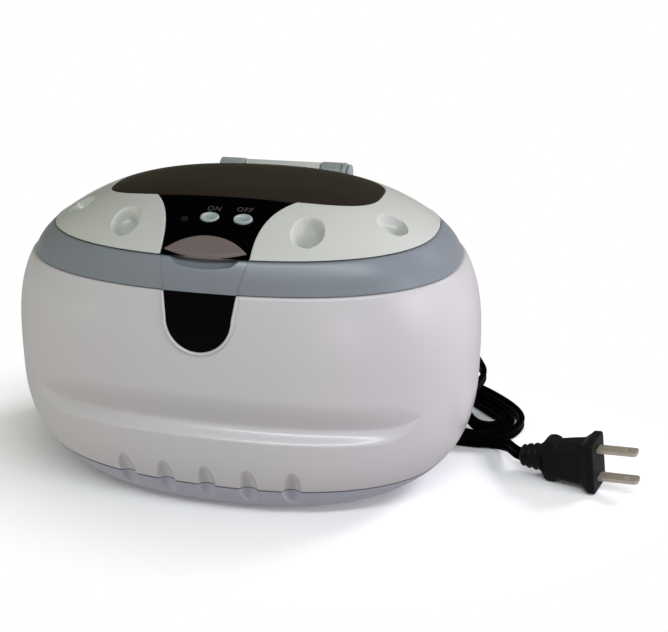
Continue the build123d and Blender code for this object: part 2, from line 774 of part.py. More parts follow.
def make_leads():
    block_x, block_y = board_centre[0] - 8, board_centre[1] + 25
    top = board_z + board_size[2]
    lower_electrode, _, upper_electrode, _ = stack_levels()
    tab_x = -stack_radius - 5.5
    to_stack = join(
        tube(((-29, 14, top + 0.1), (-28.6, 13.8, top + 8), (-25, 12.5, upper_electrode - 6),
              (tab_x, 11, upper_electrode)), 1.6),
        tube(((-28.5, 8, top + 0.1), (-27.8, 7.5, top + 5), (-24.4, 2.6, lower_electrode - 4.5),
              (tab_x, -1, lower_electrode)), 1.6),
    )
    mains = tube(((block_x, block_y, top + 10.2), (block_x + 2, block_y + 6, top + 17),
                  (block_x + 14, 44, 30), (-16, 49, 31), (6, 50, 34), (26, 49.5, 38), (40, 48, 39),
                  (46.9, 53.7, 38)), 4.0)
    panel = tube(((-32, -33, top + 0.1), (-31, -34.5, top + 9), (-25, -42, 34), (-16, -49.5, 52),
                  (-7, -50.8, 70), (-1.5, -50.2, 86), (0, -48.8, 98), (0.8, -46.5, 106.2),
                  (1.0, -43.2, 109.5)), 2.4)
    return {"transducer_leads": to_stack, "mains_leads": mains, "panel_leads": panel}


nodes = {
    "body_shell": make_shell(),
    "base_cover": make_tray(),
    "deck_ring": make_ring(),
    "ring_insert": make_insert(),
    "badge_plate": make_badge(),
    "tank": make_tank(),
    "tank_gasket": make_gasket(),
    "console_panel": make_console(),
    "console_lens": make_lens(),
    "status_led": make_led(),
    "on_button": make_button(button_x[0]),
    "off_button": make_button(button_x[1]),
    "on_plunger": make_plunger(button_x[0]),
    "off_plunger": make_plunger(button_x[1]),
    "tact_switches": make_switches(),
    "switch_board": make_switch_board(),
    "lid_frame": make_lid_frame(),
    "lid_window": make_window(),
    "lid_inner_frame": make_inner_frame(),
    "lid_screws": make_lid_screws(),
    "hinge_pin": make_pin(),
    "strain_relief": make_boot(),
    "exit_lead": tube(exit_route, cord_diameter),
    "cord_hank": make_hank(),
    "plug_lead": tube(plug_route, cord_diameter),
    "plug_body": make_plug(),
    "plug_blades": plug_frame() * plug_blade_shapes(),
    "rubber_feet": make_feet(),
    "base_screws": make_tray_screws(),
}
nodes.update(make_transducer())
nodes.update(make_electronics())
nodes.update(make_leads())

os.makedirs("parts", exist_ok=True)
for name, shape in nodes.items():
    shape.label = name
    export_step(shape, f"parts/{name}.step")
    print(name, len(shape.solids()), round(sum(s.volume for s in shape.solids())))
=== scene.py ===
import json
import math

import bmesh
import bpy
import numpy as np
from mathutils import Matrix, Vector

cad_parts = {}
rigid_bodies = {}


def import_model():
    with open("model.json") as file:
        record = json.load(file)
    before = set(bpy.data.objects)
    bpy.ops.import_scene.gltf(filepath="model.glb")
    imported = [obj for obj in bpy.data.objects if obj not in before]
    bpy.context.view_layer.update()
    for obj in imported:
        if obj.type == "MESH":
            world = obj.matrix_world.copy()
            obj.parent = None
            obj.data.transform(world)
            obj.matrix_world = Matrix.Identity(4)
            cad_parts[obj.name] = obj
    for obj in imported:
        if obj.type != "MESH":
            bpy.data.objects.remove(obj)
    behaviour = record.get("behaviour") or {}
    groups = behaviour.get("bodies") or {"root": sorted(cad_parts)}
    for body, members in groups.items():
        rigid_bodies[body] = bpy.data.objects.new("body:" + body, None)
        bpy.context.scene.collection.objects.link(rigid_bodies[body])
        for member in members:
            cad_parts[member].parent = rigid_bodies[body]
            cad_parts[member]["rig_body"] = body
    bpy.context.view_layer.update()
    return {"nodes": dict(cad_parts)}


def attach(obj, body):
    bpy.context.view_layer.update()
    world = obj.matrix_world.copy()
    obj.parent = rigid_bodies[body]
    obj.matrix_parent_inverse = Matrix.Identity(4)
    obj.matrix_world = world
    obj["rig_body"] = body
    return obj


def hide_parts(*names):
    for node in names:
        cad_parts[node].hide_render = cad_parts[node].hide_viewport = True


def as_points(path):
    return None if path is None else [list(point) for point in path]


# Desktop ultrasonic cleaner. Shapes are worked out in millimetres and put into the meshes in metres.
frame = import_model()
mm = 0.001


# Camera: aimed with azimuth, elevation and roll; the lens shift sets the target off the middle of the picture
cameraFacts = {
    "target": (0.0, 0.0, 62.0),
    "azimuth": 16.522,
    "elevation": 20.792,
    "roll": -0.919,
    "distance": 519.96,
    "focal": 1156.1,            # in pixels of the picture
    "centre": (247.94, 321.78),
    "picture": (668, 632),
    "sensor": 36.0,
}


def addObject(name, data):
    thing = bpy.data.objects.new(name, data)
    bpy.context.scene.collection.objects.link(thing)
    return thing


# The view's axes, rolled about the line of sight, are the columns of the camera's turn
def makeCamera(facts):
    a, e, r = (math.radians(facts[name]) for name in ("azimuth", "elevation", "roll"))
    back = np.array([math.sin(a) * math.cos(e), -math.cos(a) * math.cos(e), math.sin(e)])
    right = np.array([math.cos(a), math.sin(a), 0.0])
    up = np.cross(back, right)
    rolledRight = right * math.cos(r) + up * math.sin(r)
    rolledUp = up * math.cos(r) - right * math.sin(r)
    place = (np.array(facts["target"]) + back * facts["distance"]) * mm
    width, height = facts["picture"]
    lens = bpy.data.cameras.new("camera")
    lens.sensor_width = facts["sensor"]
    lens.lens = facts["focal"] / width * facts["sensor"]
    lens.shift_x = (width / 2 - facts["centre"][0]) / width
    lens.shift_y = (facts["centre"][1] - height / 2) / width
    lens.clip_start = 0.01
    camera = addObject("camera", lens)
    turn = Matrix([Vector(rolledRight), Vector(rolledUp), Vector(back)]).transposed()
    camera.matrix_world = Matrix.Translation(Vector(place)) @ turn.to_4x4()
    bpy.context.scene.camera = camera


makeCamera(cameraFacts)
print("camera done")


# Quads of a grid of points stored row by row
def gridFaces(rows, columns, wrapRows=False, wrapColumns=True):
    r = np.arange(rows if wrapRows else rows - 1)
    c = np.arange(columns if wrapColumns else columns - 1)
    r, c = (part.ravel() for part in np.meshgrid(r, c, indexing="ij"))
    nextRow, nextColumn = (r + 1) % rows, (c + 1) % columns
    return np.stack([r * columns + c, r * columns + nextColumn,
                     nextRow * columns + nextColumn, nextRow * columns + c], axis=1)


# Triangles between a centre point and the ring of points that starts at the given index
def discFaces(columns, centre, ring):
    c = np.arange(columns)
    return np.stack([np.full(columns, centre), ring + c, ring + (c + 1) % columns], axis=1)


# Faces turned over where the grid runs the other way round
def turned(faces, reverse):
    return [block[:, ::-1] if reverse else block for block in faces]


# Closed tube: rings joined in order, with a fan from an end point over the first and the last ring
def closedRings(rings, ends, reverse=False):
    count, columns = rings.shape[:2]
    middle = count * columns
    faces = [gridFaces(count, columns), discFaces(columns, middle, 0)[:, ::-1],
             discFaces(columns, middle + 1, middle - columns)]
    return np.concatenate([rings.reshape(-1, 3), ends]), turned(faces, reverse)


# Closed bar: each column of the grid is a loop round it, with a flat face over the first and the last loop
def closedBar(points, reverse=False):
    count, columns = points.shape[:2]
    loop = np.arange(count) * columns
    faces = [gridFaces(count, columns, wrapRows=True, wrapColumns=False), loop[None, :],
             (loop + columns - 1)[None, ::-1]]
    return points.reshape(-1, 3), turned(faces, reverse)


# Equal turns all the way round
def fullRound(count):
    return np.linspace(0, 2 * np.pi, count, endpoint=False)


# Quarter circle in equal steps: one minus the cosine and one minus the sine of the turn
def quarterRound(count):
    return [(1 - np.cos(turn), 1 - np.sin(turn)) for turn in np.linspace(0, np.pi / 2, count)]


# Smooth shading, apart from edges where faces meet more sharply than the angle
def shadeSmooth(mesh, sharpAngle):
    mesh.polygons.foreach_set("use_smooth", np.ones(len(mesh.polygons), bool))
    mesh.set_sharp_from_angle(angle=math.radians(sharpAngle))


# A finished mesh gets its finish, the body it rides on and the CAD nodes it stands for
def placePiece(name, mesh, body, material, replaced):
    mesh.materials.clear()
    mesh.materials.append(material)
    piece = addObject(name, mesh)
    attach(piece, body)
    if replaced:
        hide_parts(*replaced)
    return piece


# A piece from closed surfaces in millimetres, each given as its points and blocks of faces
def makePiece(name, parts, body, material, replaced=(), sharpAngle=35.0):
    points, faces, count = [], [], 0
    for partPoints, blocks in parts:
        points.append(partPoints)
        for block in blocks:
            faces += (block + count).tolist()
        count += len(partPoints)
    mesh = bpy.data.meshes.new(name)
    mesh.from_pydata((np.concatenate(points) * mm).tolist(), [], faces)
    mesh.validate()
    mesh.update()
    shadeSmooth(mesh, sharpAngle)
    return placePiece(name, mesh, body, material, replaced)


# A copy of a CAD node's triangles with its doubles merged, so that round faces shade smoothly
def smoothNode(node, name, material, sharpAngle=28.0):
    source = frame["nodes"][node]
    mesh = source.data.copy()
    mesh.name = name
    work = bmesh.new()
    work.from_mesh(mesh)
    bmesh.ops.remove_doubles(work, verts=work.verts, dist=0.000004)
    work.to_mesh(mesh)
    work.free()
    if mesh.has_custom_normals:
        mesh.attributes.remove(mesh.attributes["custom_normal"])
    shadeSmooth(mesh, sharpAngle)
    return placePiece(name, mesh, source["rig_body"], material, (node,))


# 3x^2 - 2x^3 between 0 and 1
def smoothStep(x):
    x = np.clip(x, 0.0, 1.0)
    return x * x * (3 - 2 * x)


# Vectors brought to length 1
def unitRows(vectors):
    return vectors / np.maximum(np.linalg.norm(vectors, axis=-1, keepdims=True), 1e-12)


# Length travelled along a polyline up to each point, each step times its weight
def runningLength(x, y, weight=1.0):
    return np.concatenate([[0], np.cumsum(np.hypot(np.diff(x), np.diff(y)) * weight)])


# Finishes: a group gives the colour, roughness and height, and each material keeps its own Principled shader
def newGroup(name, inputs, outputs):
    tree = bpy.data.node_groups.new(name, "ShaderNodeTree")
    for label, kind, value in inputs:
        socket = tree.interface.new_socket(label, in_out="INPUT", socket_type=kind)
        socket.default_value = value
    for label, kind in outputs:
        tree.interface.new_socket(label, in_out="OUTPUT", socket_type=kind)
    return tree, tree.nodes.new("NodeGroupInput"), tree.nodes.new("NodeGroupOutput")


# A node with its properties and named sockets set, and wires led into it
def addNode(tree, kind, links=(), **values):
    node = tree.nodes.new(kind)
    for label, value in values.items():
        if hasattr(node, label):
            setattr(node, label, value)
        else:
            node.inputs[label.replace("_", " ")].default_value = value
    for socket, source in links:
        tree.links.new(source, node.inputs[socket])
    return node


# Math node whose inputs are wires or plain values, in order
def calculate(tree, operation, *given, kind="ShaderNodeMath"):
    node = addNode(tree, kind, operation=operation)
    for socket, value in zip(node.inputs, given):
        if isinstance(value, bpy.types.NodeSocket):
            tree.links.new(value, socket)
        else:
            socket.default_value = value
    return node


# Colour times 1 + share * (pattern - 0.5), roughness plus share * (pattern - 0.5), and a height
def shadeByPattern(tree, given, result, pattern, colourShare, glossShare, height):
    centred = calculate(tree, "SUBTRACT", pattern, 0.5).outputs[0]
    level = calculate(tree, "MULTIPLY_ADD", centred, given[colourShare], 1.0).outputs[0]
    tinted = addNode(tree, "ShaderNodeVectorMath", [(0, given["Color"]), ("Scale", level)], operation="SCALE")
    rough = calculate(tree, "MULTIPLY_ADD", centred, given[glossShare], given["Roughness"])
    for label, source in (("Color", tinted.outputs[0]), ("Roughness", rough.outputs[0]), ("Height", height)):
        tree.links.new(source, result.inputs[label])


shadeOutputs = (("Color", "NodeSocketColor"), ("Roughness", "NodeSocketFloat"), ("Height", "NodeSocketFloat"))


# Moulded plastic: slow drift of colour and gloss, fine spark-eroded grain as height
def makeMouldedGroup():
    tree, given, result = newGroup(
        "moulded plastic",
        [("Color", "NodeSocketColor", (0.5, 0.5, 0.5, 1)), ("Drift", "NodeSocketFloat", 0.04),
         ("Roughness", "NodeSocketFloat", 0.4), ("Gloss Drift", "NodeSocketFloat", 0.06),
         ("Grain Scale", "NodeSocketFloat", 2200.0), ("Drift Scale", "NodeSocketFloat", 22.0)], shadeOutputs)
    place = addNode(tree, "ShaderNodeTexCoord").outputs["Object"]
    drift = addNode(tree, "ShaderNodeTexNoise", [("Vector", place), ("Scale", given.outputs["Drift Scale"])],
                    Detail=3.0, Roughness=0.55)
    grain = addNode(tree, "ShaderNodeTexNoise", [("Vector", place), ("Scale", given.outputs["Grain Scale"])],
                    Detail=2.0, Roughness=0.6)
    shadeByPattern(tree, given.outputs, result, drift.outputs["Fac"], "Drift", "Gloss Drift",
                   grain.outputs["Fac"])
    return tree


# Rolled or drawn metal: streaks along one axis, as colour, roughness and height
def makeDrawnGroup():
    tree, given, result = newGroup(
        "drawn metal",
        [("Color", "NodeSocketColor", (0.6, 0.6, 0.6, 1)), ("Roughness", "NodeSocketFloat", 0.3),
         ("Streak Scale", "NodeSocketVector", (40.0, 900.0, 900.0)), ("Streak", "NodeSocketFloat", 0.12)],
        shadeOutputs)
    place = addNode(tree, "ShaderNodeTexCoord").outputs["Object"]
    spread = calculate(tree, "MULTIPLY", place, given.outputs["Streak Scale"], kind="ShaderNodeVectorMath")
    streak = addNode(tree, "ShaderNodeTexNoise", [("Vector", spread.outputs[0])], Scale=1.0,
                     Detail=4.0).outputs["Fac"]
    shadeByPattern(tree, given.outputs, result, streak, "Streak", "Streak", streak)
    return tree


mouldedGroup = makeMouldedGroup()
drawnGroup = makeDrawnGroup()


# Linear colour of an eight-bit screen colour
def linear(colour):
    return (*(((c / 255 + 0.055) / 1.055) ** 2.4 if c > 10 else c / 255 / 12.92 for c in colour), 1)


# Principled material whose colour, roughness and bump height come from a group
def makeMaterial(name, group, groupValues, bump, shaderValues):
    material = bpy.data.materials.new(name)
    material.use_nodes = True
    tree = material.node_tree
    shader = tree.nodes["Principled BSDF"]
    source = tree.nodes.new("ShaderNodeGroup")
    source.node_tree = group
    for label, value in groupValues.items():
        source.inputs[label].default_value = value
    strength, distance = bump
    relief = addNode(tree, "ShaderNodeBump", [("Height", source.outputs["Height"])], Strength=strength,
                     Distance=distance * mm)
    for label, wire in (("Base Color", source.outputs["Color"]), ("Roughness", source.outputs["Roughness"]),
                        ("Normal", relief.outputs["Normal"])):
        tree.links.new(wire, shader.inputs[label])
    for label, value in shaderValues.items():
        shader.inputs[label.replace("_", " ")].default_value = value
    return material


# Moulded part's finish
def plastic(name, colour, roughness, drift=0.05, grain=2200.0, bump=(0.12, 0.05), **shaderValues):
    return makeMaterial(name, mouldedGroup, {"Color": linear(colour), "Roughness": roughness, "Drift": drift,
                                             "Grain Scale": grain}, bump, shaderValues)


# Drawn or turned part's finish
def metal(name, colour, roughness, streak=(40.0, 900.0, 900.0), amount=0.12, metallic=1.0):
    return makeMaterial(name, drawnGroup, {"Color": linear(colour), "Roughness": roughness,
                                           "Streak Scale": streak, "Streak": amount}, (0.15, 0.03),
                        {"Metallic": metallic})


# Colours are eight-bit screen values; then roughness, drift of the colour, grain, and the bump's strength and
# depth in millimetres, or for metals the streaks' scale and strength and how metallic they are
finishes = {
    "casingWhite": plastic("casing white", (179, 177, 179), 0.4, 0.03, Coat_Weight=0.8, Coat_Roughness=0.22),
    "lidWhite": plastic("lid white", (178, 180, 175), 0.34, 0.03, Coat_Weight=0.35, Coat_Roughness=0.12),
    "ringGrey": plastic("ring grey", (113, 119, 125), 0.36, 0.04, Coat_Weight=0.15, Coat_Roughness=0.25),
    "insertGrey": plastic("insert grey", (110, 116, 122), 0.34, 0.04, Coat_Weight=0.4, Coat_Roughness=0.15),
    "trayGrey": plastic("tray grey", (156, 158, 170), 0.42),
    "hingeGrey": plastic("hinge grey", (132, 138, 139), 0.36, 0.04),
    "badgeBlack": plastic("badge black", (5, 5, 6), 0.3, 0.1, IOR=1.12),
    "panelBlack": plastic("panel black", (2, 2, 3), 0.34, 0.1, 900.0, (0.05, 0.03), IOR=1.02),
    "buttonGrey": plastic("button grey", (138, 148, 148), 0.3, 0.04),
    "printGrey": plastic("printed legend", (66, 62, 64), 0.5, Specular_IOR_Level=0.1),
    "indicator": plastic("indicator", (22, 18, 20), 0.25, IOR=1.15),
    "cordBlack": plastic("cord jacket", (2, 2, 2), 0.4, 0.3, 1300.0, (0.25, 0.1), IOR=1.07),
    "plugBlack": plastic("plug rubber", (20, 20, 22), 0.44, 0.25, 1500.0, (0.25, 0.1), IOR=1.18),
    "footRubber": plastic("foot rubber", (38, 38, 40), 0.7, 0.2, bump=(0.3, 0.1)),
    "sealRubber": plastic("seal rubber", (26, 26, 27), 0.62, 0.2, bump=(0.2, 0.08)),
    "frameWhite": plastic("inner frame white", (176, 176, 173), 0.5, 0.04),
    "switchBlack": plastic("switch black", (24, 24, 26), 0.5, 0.15, 1800.0),
    "boardGreen": plastic("board laminate", (24, 92, 56), 0.4, 0.35, 600.0, (0.2, 0.06)),
    "ceramic": plastic("fired ceramic", (172, 160, 132), 0.75, 0.12, 1400.0, (0.3, 0.06)),
    "ferrite": plastic("ferrite and tape", (46, 46, 49), 0.7, 0.3, 800.0, (0.35, 0.1)),
    "sleeveBlue": plastic("capacitor sleeve", (34, 44, 84), 0.3, 0.08),
    "wireRed": plastic("wire insulation", (138, 30, 26), 0.42, 0.12),
    "smokedWindow": plastic("smoked window", (36, 30, 26), 0.34, 0.5, 260.0, (0.05, 0.04),
                            Specular_IOR_Level=0.08),
    "smokedLens": plastic("smoked lens", (100, 91, 89), 0.3, 0.12, 700.0, (0.04, 0.02),
                          Specular_IOR_Level=0.12),
    "tankSteel": metal("drawn tank steel", (188, 189, 190), 0.24, (30.0, 30.0, 420.0), 0.1),
    "bladeMetal": metal("blade nickel", (214, 204, 190), 0.34, (60.0, 700.0, 700.0), 0.16, 0.75),
    "screwSteel": metal("screw zinc", (186, 188, 190), 0.34, (300.0, 300.0, 300.0)),
    "pinSteel": metal("pin steel", (180, 184, 184), 0.28, (30.0, 500.0, 500.0)),
    "hornAluminium": metal("turned aluminium", (206, 207, 208), 0.32, (60.0, 60.0, 900.0)),
    "massSteel": metal("turned steel", (150, 151, 153), 0.36, (60.0, 60.0, 900.0)),
    "brass": metal("brass plate", (214, 178, 98), 0.3, (300.0, 300.0, 300.0)),
}
print("finishes done")


# Cord: a flat twin lead lying on its narrow edge, from the casing to a loose hank and on to the plug
cordFacts = {
    "profilePoints": 28,
    "lobeRadius": 1.45,
    "lobeOffset": 1.65,
    "groove": 0.95,             # half thickness between the lobes
    "exitRoute": ((60.5, 90.1, 38.0), (66.0, 101.5, 35.0), (76.0, 107.0, 26.6), (87.5, 104.5, 18.4),
                  (96.0, 96.5, 12.4), (100.0, 86.5, 10.8), (98.4, 76.0, 10.2), (96.2, 66.0, 10.2)),
    "plugRoute": ((101.9, 24.4, 3.2), (108.6, 25.5, 3.2), (113.8, 24.0, 3.6), (117.2, 18.5, 5.8),
                  (119.5, 12.6, 7.0), (122.4, 8.6, 7.2), (126.5, 6.9, 7.8)),
    "intoHank": ((-12.6, 6.8, 10.2), (-7.0, 1.1, 8.8), (-2.2, -3.7, 6.0), (4.8, -3.7, 3.6), (9.8, 1.3, 3.2),
                 (9.8, 8.3, 3.2), (4.8, 13.3, 3.2), (-2.4, 13.4, 3.2)),
    "outOfHank": ((-3.0, -23.3, 3.2), (8.0, -22.4, 3.2)),
    "hankMiddle": (99.8, 46.2),
    "hankHeading": (-0.7, 0.714),
    "run": 98.0,
    "runShares": (0.22, 0.5, 0.78),
    "radii": (13.4, 22.6),
    "swell": (0.42, 2.1, -10.0, 40.0),          # share, turn, middle and reach of the last turn's bulge
    "squeeze": 0.05,            # share by which a later turn's near bend is shorter
    "turns": 3,
    "lastTurn": 2.6,
    "phases": (0.1, 0.35, 0.6, 0.85),           # turn at the run out, far bend, run back and near bend
    "degreesPerTurn": 900,      # how fast the radius grows inside a bend
    "bendAngles": (-67.5, -22.5, 22.5, 67.5),
    "cornerShare": 0.925,       # how far the spline's round end reaches towards its corner points
    "lie": 3.2,
}


# Along the hank's axis away from its near end's centre, and square to it
def hankPoint(facts, along, across, height):
    heading = np.array(facts["hankHeading"]) / np.linalg.norm(facts["hankHeading"])
    square = np.array([heading[1], -heading[0]])
    place = np.array(facts["hankMiddle"]) - heading * along + square * across
    return (place[0], place[1], height)


# Oval turns that grow evenly: run out on one side, far bend, run back, near bend
def hankTurns(facts):
    inner, outer = facts["radii"]
    run, lie = facts["run"], facts["lie"]
    runOut, farBend, runBack, nearBend = facts["phases"]

    def radius(turn):
        return inner + (outer - inner) * turn / facts["lastTurn"]

    def swollen(turn, along):
        share, fullTurn, middle, reach = facts["swell"]
        return 1 + share * (turn / fullTurn) ** 3 * max(0, 1 - abs(along - middle) / reach)

    def bend(centre, facing, turn):
        for angle in facts["bendAngles"]:
            r = radius(turn + angle / facts["degreesPerTurn"]) / facts["cornerShare"]
            a = math.radians(facing + angle)
            along, across = centre + r * math.cos(a), r * math.sin(a)
            if along > 0:
                along *= 1 - facts["squeeze"] * max(0, turn - nearBend)
            across *= swollen(turn, along) if across > 0 else 1
            yield hankPoint(facts, along, across, lie)

    points = []
    for turn in range(facts["turns"]):
        points += [hankPoint(facts, -run * share, radius(turn + runOut) * swollen(turn, -run * share), lie)
                   for share in facts["runShares"]]
        points += bend(-run, 180, turn + farBend)
        points += [hankPoint(facts, -run * (1 - share), -radius(turn + runBack), lie)
                   for share in facts["runShares"]]
        if turn < facts["turns"] - 1:
            points += bend(0.0, 0, turn + nearBend)
    return points


# A mesh's points as rows of x, y and z
def meshPoints(mesh):
    points = np.zeros(len(mesh.vertices) * 3)
    mesh.vertices.foreach_get("co", points)
    return points.reshape(-1, 3)


# Points along the one NURBS spline of the cord, in metres
def cordLine(facts):
    route = list(facts["exitRoute"])
    route += [hankPoint(facts, *place) for place in facts["intoHank"]]
    route += hankTurns(facts)
    route += [hankPoint(facts, *place) for place in facts["outOfHank"]]
    route += facts["plugRoute"]
    curve = bpy.data.curves.new("cord line", "CURVE")
    curve.dimensions = "3D"
    spline = curve.splines.new("NURBS")
    spline.points.add(len(route) - 1)
    for point, (x, y, z) in zip(spline.points, route):
        point.co = (x * mm, y * mm, z * mm, 1.0)
    spline.order_u = 3
    spline.use_endpoint_u = True
    spline.resolution_u = 12
    holder = addObject("cord line", curve)
    mesh = bpy.data.meshes.new_from_object(holder)
    line = meshPoints(mesh)
    bpy.data.objects.remove(holder)
    bpy.data.meshes.remove(mesh)
    return line


# Two round lobes with a shallow groove between them: half thickness at each height
def cordProfile(facts):
    count = facts["profilePoints"]
    turn = 2 * np.pi * np.arange(count) / count
    reach = facts["lobeOffset"] + facts["lobeRadius"]
    height = reach * np.sin(turn)
    lobe = np.sqrt(np.maximum(facts["lobeRadius"] ** 2 - (np.abs(height) - facts["lobeOffset"]) ** 2, 0))
    web = facts["groove"] * (np.abs(height) < facts["lobeOffset"])
    across = np.maximum(lobe, web) * np.sign(np.cos(turn))
    return np.stack([across, height], axis=1)


# Jacket: the profile carried along the line, its height kept upright
def makeCord(facts):
    line = cordLine(facts)
    along = unitRows(np.gradient(line, axis=0))
    side = unitRows(np.cross(along, (0.0, 0.0, 1.0)))
    up = np.cross(side, along)
    path, profile = line / mm, cordProfile(facts)
    rings = path[:, None, :] + side[:, None, :] * profile[None, :, :1] + up[:, None, :] * profile[None, :, 1:]
    cord = makePiece("power_cord", [closedRings(rings, path[[0, -1]], reverse=True)], "base",
                     finishes["cordBlack"], ("exit_lead", "cord_hank", "plug_lead"))
    return cord, line


powerCord, cordPath = makeCord(cordFacts)


# Plug: sections across its axis, from the ribbed relief through grip and flare to the flange
plug = {
    "start": (123.6, 7.7, 7.4),
    "turn": -15.0,
    "tilt": 8.0,
    "length": 34.0,
    "columns": 168,
    "reliefEnd": 10.0,
    "reliefRadii": (4.9, 6.6),
    "reliefTip": 1.5,
    "grooves": (2.3, 5.3, 8.3),
    "grooveWidth": 0.8,
    "grooveDepth": 0.75,
    "gripStart": (6.9, 5.9),
    "gripEnd": 27.5,
    "gripSize": (9.7, 7.25),
    "gripBow": 0.35,            # how far the grip's sides bow out instead of running straight
    "gripStep": (0.5, 22),      # depth of the step after the relief, and how soon it ends
    "gripPower": 4.2,
    "flareEnd": 30.8,
    "flarePowers": (1.3, 6.8),  # of the flare's curve, and added to the section's
    "face": (11.6, 9.0),
    "faceShares": (0.9, 0.7, 0.45, 0.2),
    "edge": 0.7,
    "knob": (14.0, 3.3, 9.4, 4.6),              # middle, half length, reach and half width
    "knobSoft": 0.9,
    "hollow": (15.2, 6.6, 5.4, 1.0, -0.8),      # middle, half length, half height, depth and lift
    "hollowSoft": 1.6,
    "core": (4.2, 4.0),         # half height and half width that knob and hollow leave alone
}


# Axes of the plug: along it at its turn and tilt, to its side, and up
def plugAxes(facts):
    turn, tilt = math.radians(facts["turn"]), math.radians(facts["tilt"])
    along = np.array([math.cos(turn) * math.cos(tilt), math.sin(turn) * math.cos(tilt), math.sin(tilt)])
    side = np.array([-math.sin(turn), math.cos(turn), 0.0])
    return along, side, np.cross(along, side)


# Half height, half width and superellipse power of the section at a distance along the axis
def plugSection(facts, z):
    if z <= facts["reliefEnd"]:
        low, high = facts["reliefRadii"]
        tip = facts["reliefTip"]
        radius = low + (high - low) * z / facts["reliefEnd"] - tip * max(0.0, 1 - z / tip) ** 2
        for groove in facts["grooves"]:
            radius -= facts["grooveDepth"] * math.exp(-((z - groove) / facts["grooveWidth"]) ** 2)
        return radius, radius, 2.0
    if z <= facts["gripEnd"]:
        share = (z - facts["reliefEnd"]) / (facts["gripEnd"] - facts["reliefEnd"])
        rise = share * (2 - share) * facts["gripBow"] + share * (1 - facts["gripBow"])
        step = facts["gripStep"][0] * max(0.0, 1 - share * facts["gripStep"][1])
        high, wide = (a + (b - a) * rise - step for a, b in zip(facts["gripStart"], facts["gripSize"]))
        return high, wide, facts["gripPower"]
    share = min(1.0, (z - facts["gripEnd"]) / (facts["flareEnd"] - facts["gripEnd"]))
    curve, added = facts["flarePowers"]
    high, wide = (a + (b - a) * share ** curve for a, b in zip(facts["gripSize"], facts["face"]))
    return high, wide, facts["gripPower"] + added * share


# Moulding: each section's superellipse stands across the axis, and the flange's edge is a quarter circle
def makePlug(facts):
    along, side, up = plugAxes(facts)
    turn = 2 * np.pi * np.arange(facts["columns"]) / facts["columns"]
    edge, reliefEnd, length = facts["edge"], facts["reliefEnd"], facts["length"]
    z = np.concatenate([np.arange(0, reliefEnd, 0.16), [reliefEnd, reliefEnd + 0.02],
                        np.arange(reliefEnd + 0.3, facts["gripEnd"], 0.3),
                        np.linspace(facts["gripEnd"], facts["flareEnd"], 12),
                        np.linspace(facts["flareEnd"] + 0.3, length - edge, 5)])
    rows = [(place, *plugSection(facts, place), 1.0) for place in z]
    halfHeight, halfWidth, power = rows[-1][1:4]
    for t in np.linspace(0, np.pi / 2, 6)[1:]:
        less = edge * (1 - math.cos(t))
        rows.append((length - edge + edge * math.sin(t), halfHeight - less, halfWidth - less, power, 1.0))
    rows += [(length, halfHeight - edge, halfWidth - edge, power, share) for share in facts["faceShares"]]
    place, halfHeight, halfWidth, power, share = (np.array(column)[:, None] for column in zip(*rows))
    radius = share * (np.abs(np.cos(turn) / halfHeight) ** power
                      + np.abs(np.sin(turn) / halfWidth) ** power) ** (-1 / power)
    high, wide = radius * np.cos(turn), radius * np.sin(turn)
    coreHigh, coreWide = facts["core"]

    # Knob across each narrow side: it rises over its length and ends inside the grip's width
    middle, half, reach, width = facts["knob"]
    soft = facts["knobSoft"]
    rise = np.sqrt(np.clip(1 - ((place - middle) / half) ** 2, 0, 1)) * smoothStep(
        (width + soft - np.abs(wide)) / soft)
    raised = high + np.sign(high) * (reach - np.abs(high)) * rise * (np.abs(high) > coreHigh)
    high = np.where(np.abs(high) < reach, raised, high)

    # Finger hollow in each broad side: depth * (1 - a^2 - b^2), limited to the inside
    middle, halfLong, halfHigh, depth, lift = facts["hollow"]
    dish = 1 - ((place - middle) / halfLong) ** 2 - ((high - lift) / halfHigh) ** 2
    wide = wide - np.sign(wide) * depth * smoothStep(dish * facts["hollowSoft"]) * (np.abs(wide) > coreWide)
    start = np.array(facts["start"])
    rings = start + along * place[..., None] + up * high[..., None] + side * wide[..., None]
    return closedRings(rings, np.stack([start, start + along * length]))


plugMoulding = makePiece("plug_moulding", [makePlug(plug)], "base", finishes["plugBlack"],
                         ("plug_body",), sharpAngle=40.0)
cordBoot = smoothNode("strain_relief", "cord_boot", finishes["plugBlack"])
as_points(cordPath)
print("cord laid", round(float(np.linalg.norm(np.diff(cordPath, axis=0), axis=1).sum()), 4), "m")


# Casing: an egg-shaped skin whose level sections are superellipses
casing = {
    "halfLength": 103.0,
    "halfWidth": 71.0,
    "widestZ": 52.0,
    "upperReach": 75.5,
    "lowerReach": 60.4,
    "profilePower": 3,
    "widthShare": 0.576,
    "power": 2.36,
    "columns": 580,
    "spacing": (100.0, 69.0),   # half sizes of the oval that spaces the columns
    "fineFront": (3.2, 46, 8),  # extra columns at the front, half width of that part, and its fade
    "shellBottom": 13.8,
    "shellTop": 97.9,
    "edge": 0.8,
    "ringBottom": 98.2,
    "ringTop": 110.2,
    "seamZ": 110.5,
    "levelTop": 27.0,           # up to here the rows of points are level
    "rows": (36, 16, 50, 42),   # level, up to the scoop's lip, in the scoop, up to the top edge
    "rowPowers": (0.8, 1.5),    # spacing below the lip and in the scoop
    "inside": ((97.9, 2.8), (64.0, 2.8), (60.5, 5.9), (36.5, 5.9), (33.0, 2.8), (13.8, 2.8)),   # height, wall
}


# Half length at a height: a superellipse arc above the widest height and another below
def halfLength(z):
    reach = np.where(z > casing["widestZ"], casing["upperReach"], casing["lowerReach"])
    power = casing["profilePower"]
    return casing["halfLength"] * (1 - (np.abs(z - casing["widestZ"]) / reach) ** power) ** (1 / power)


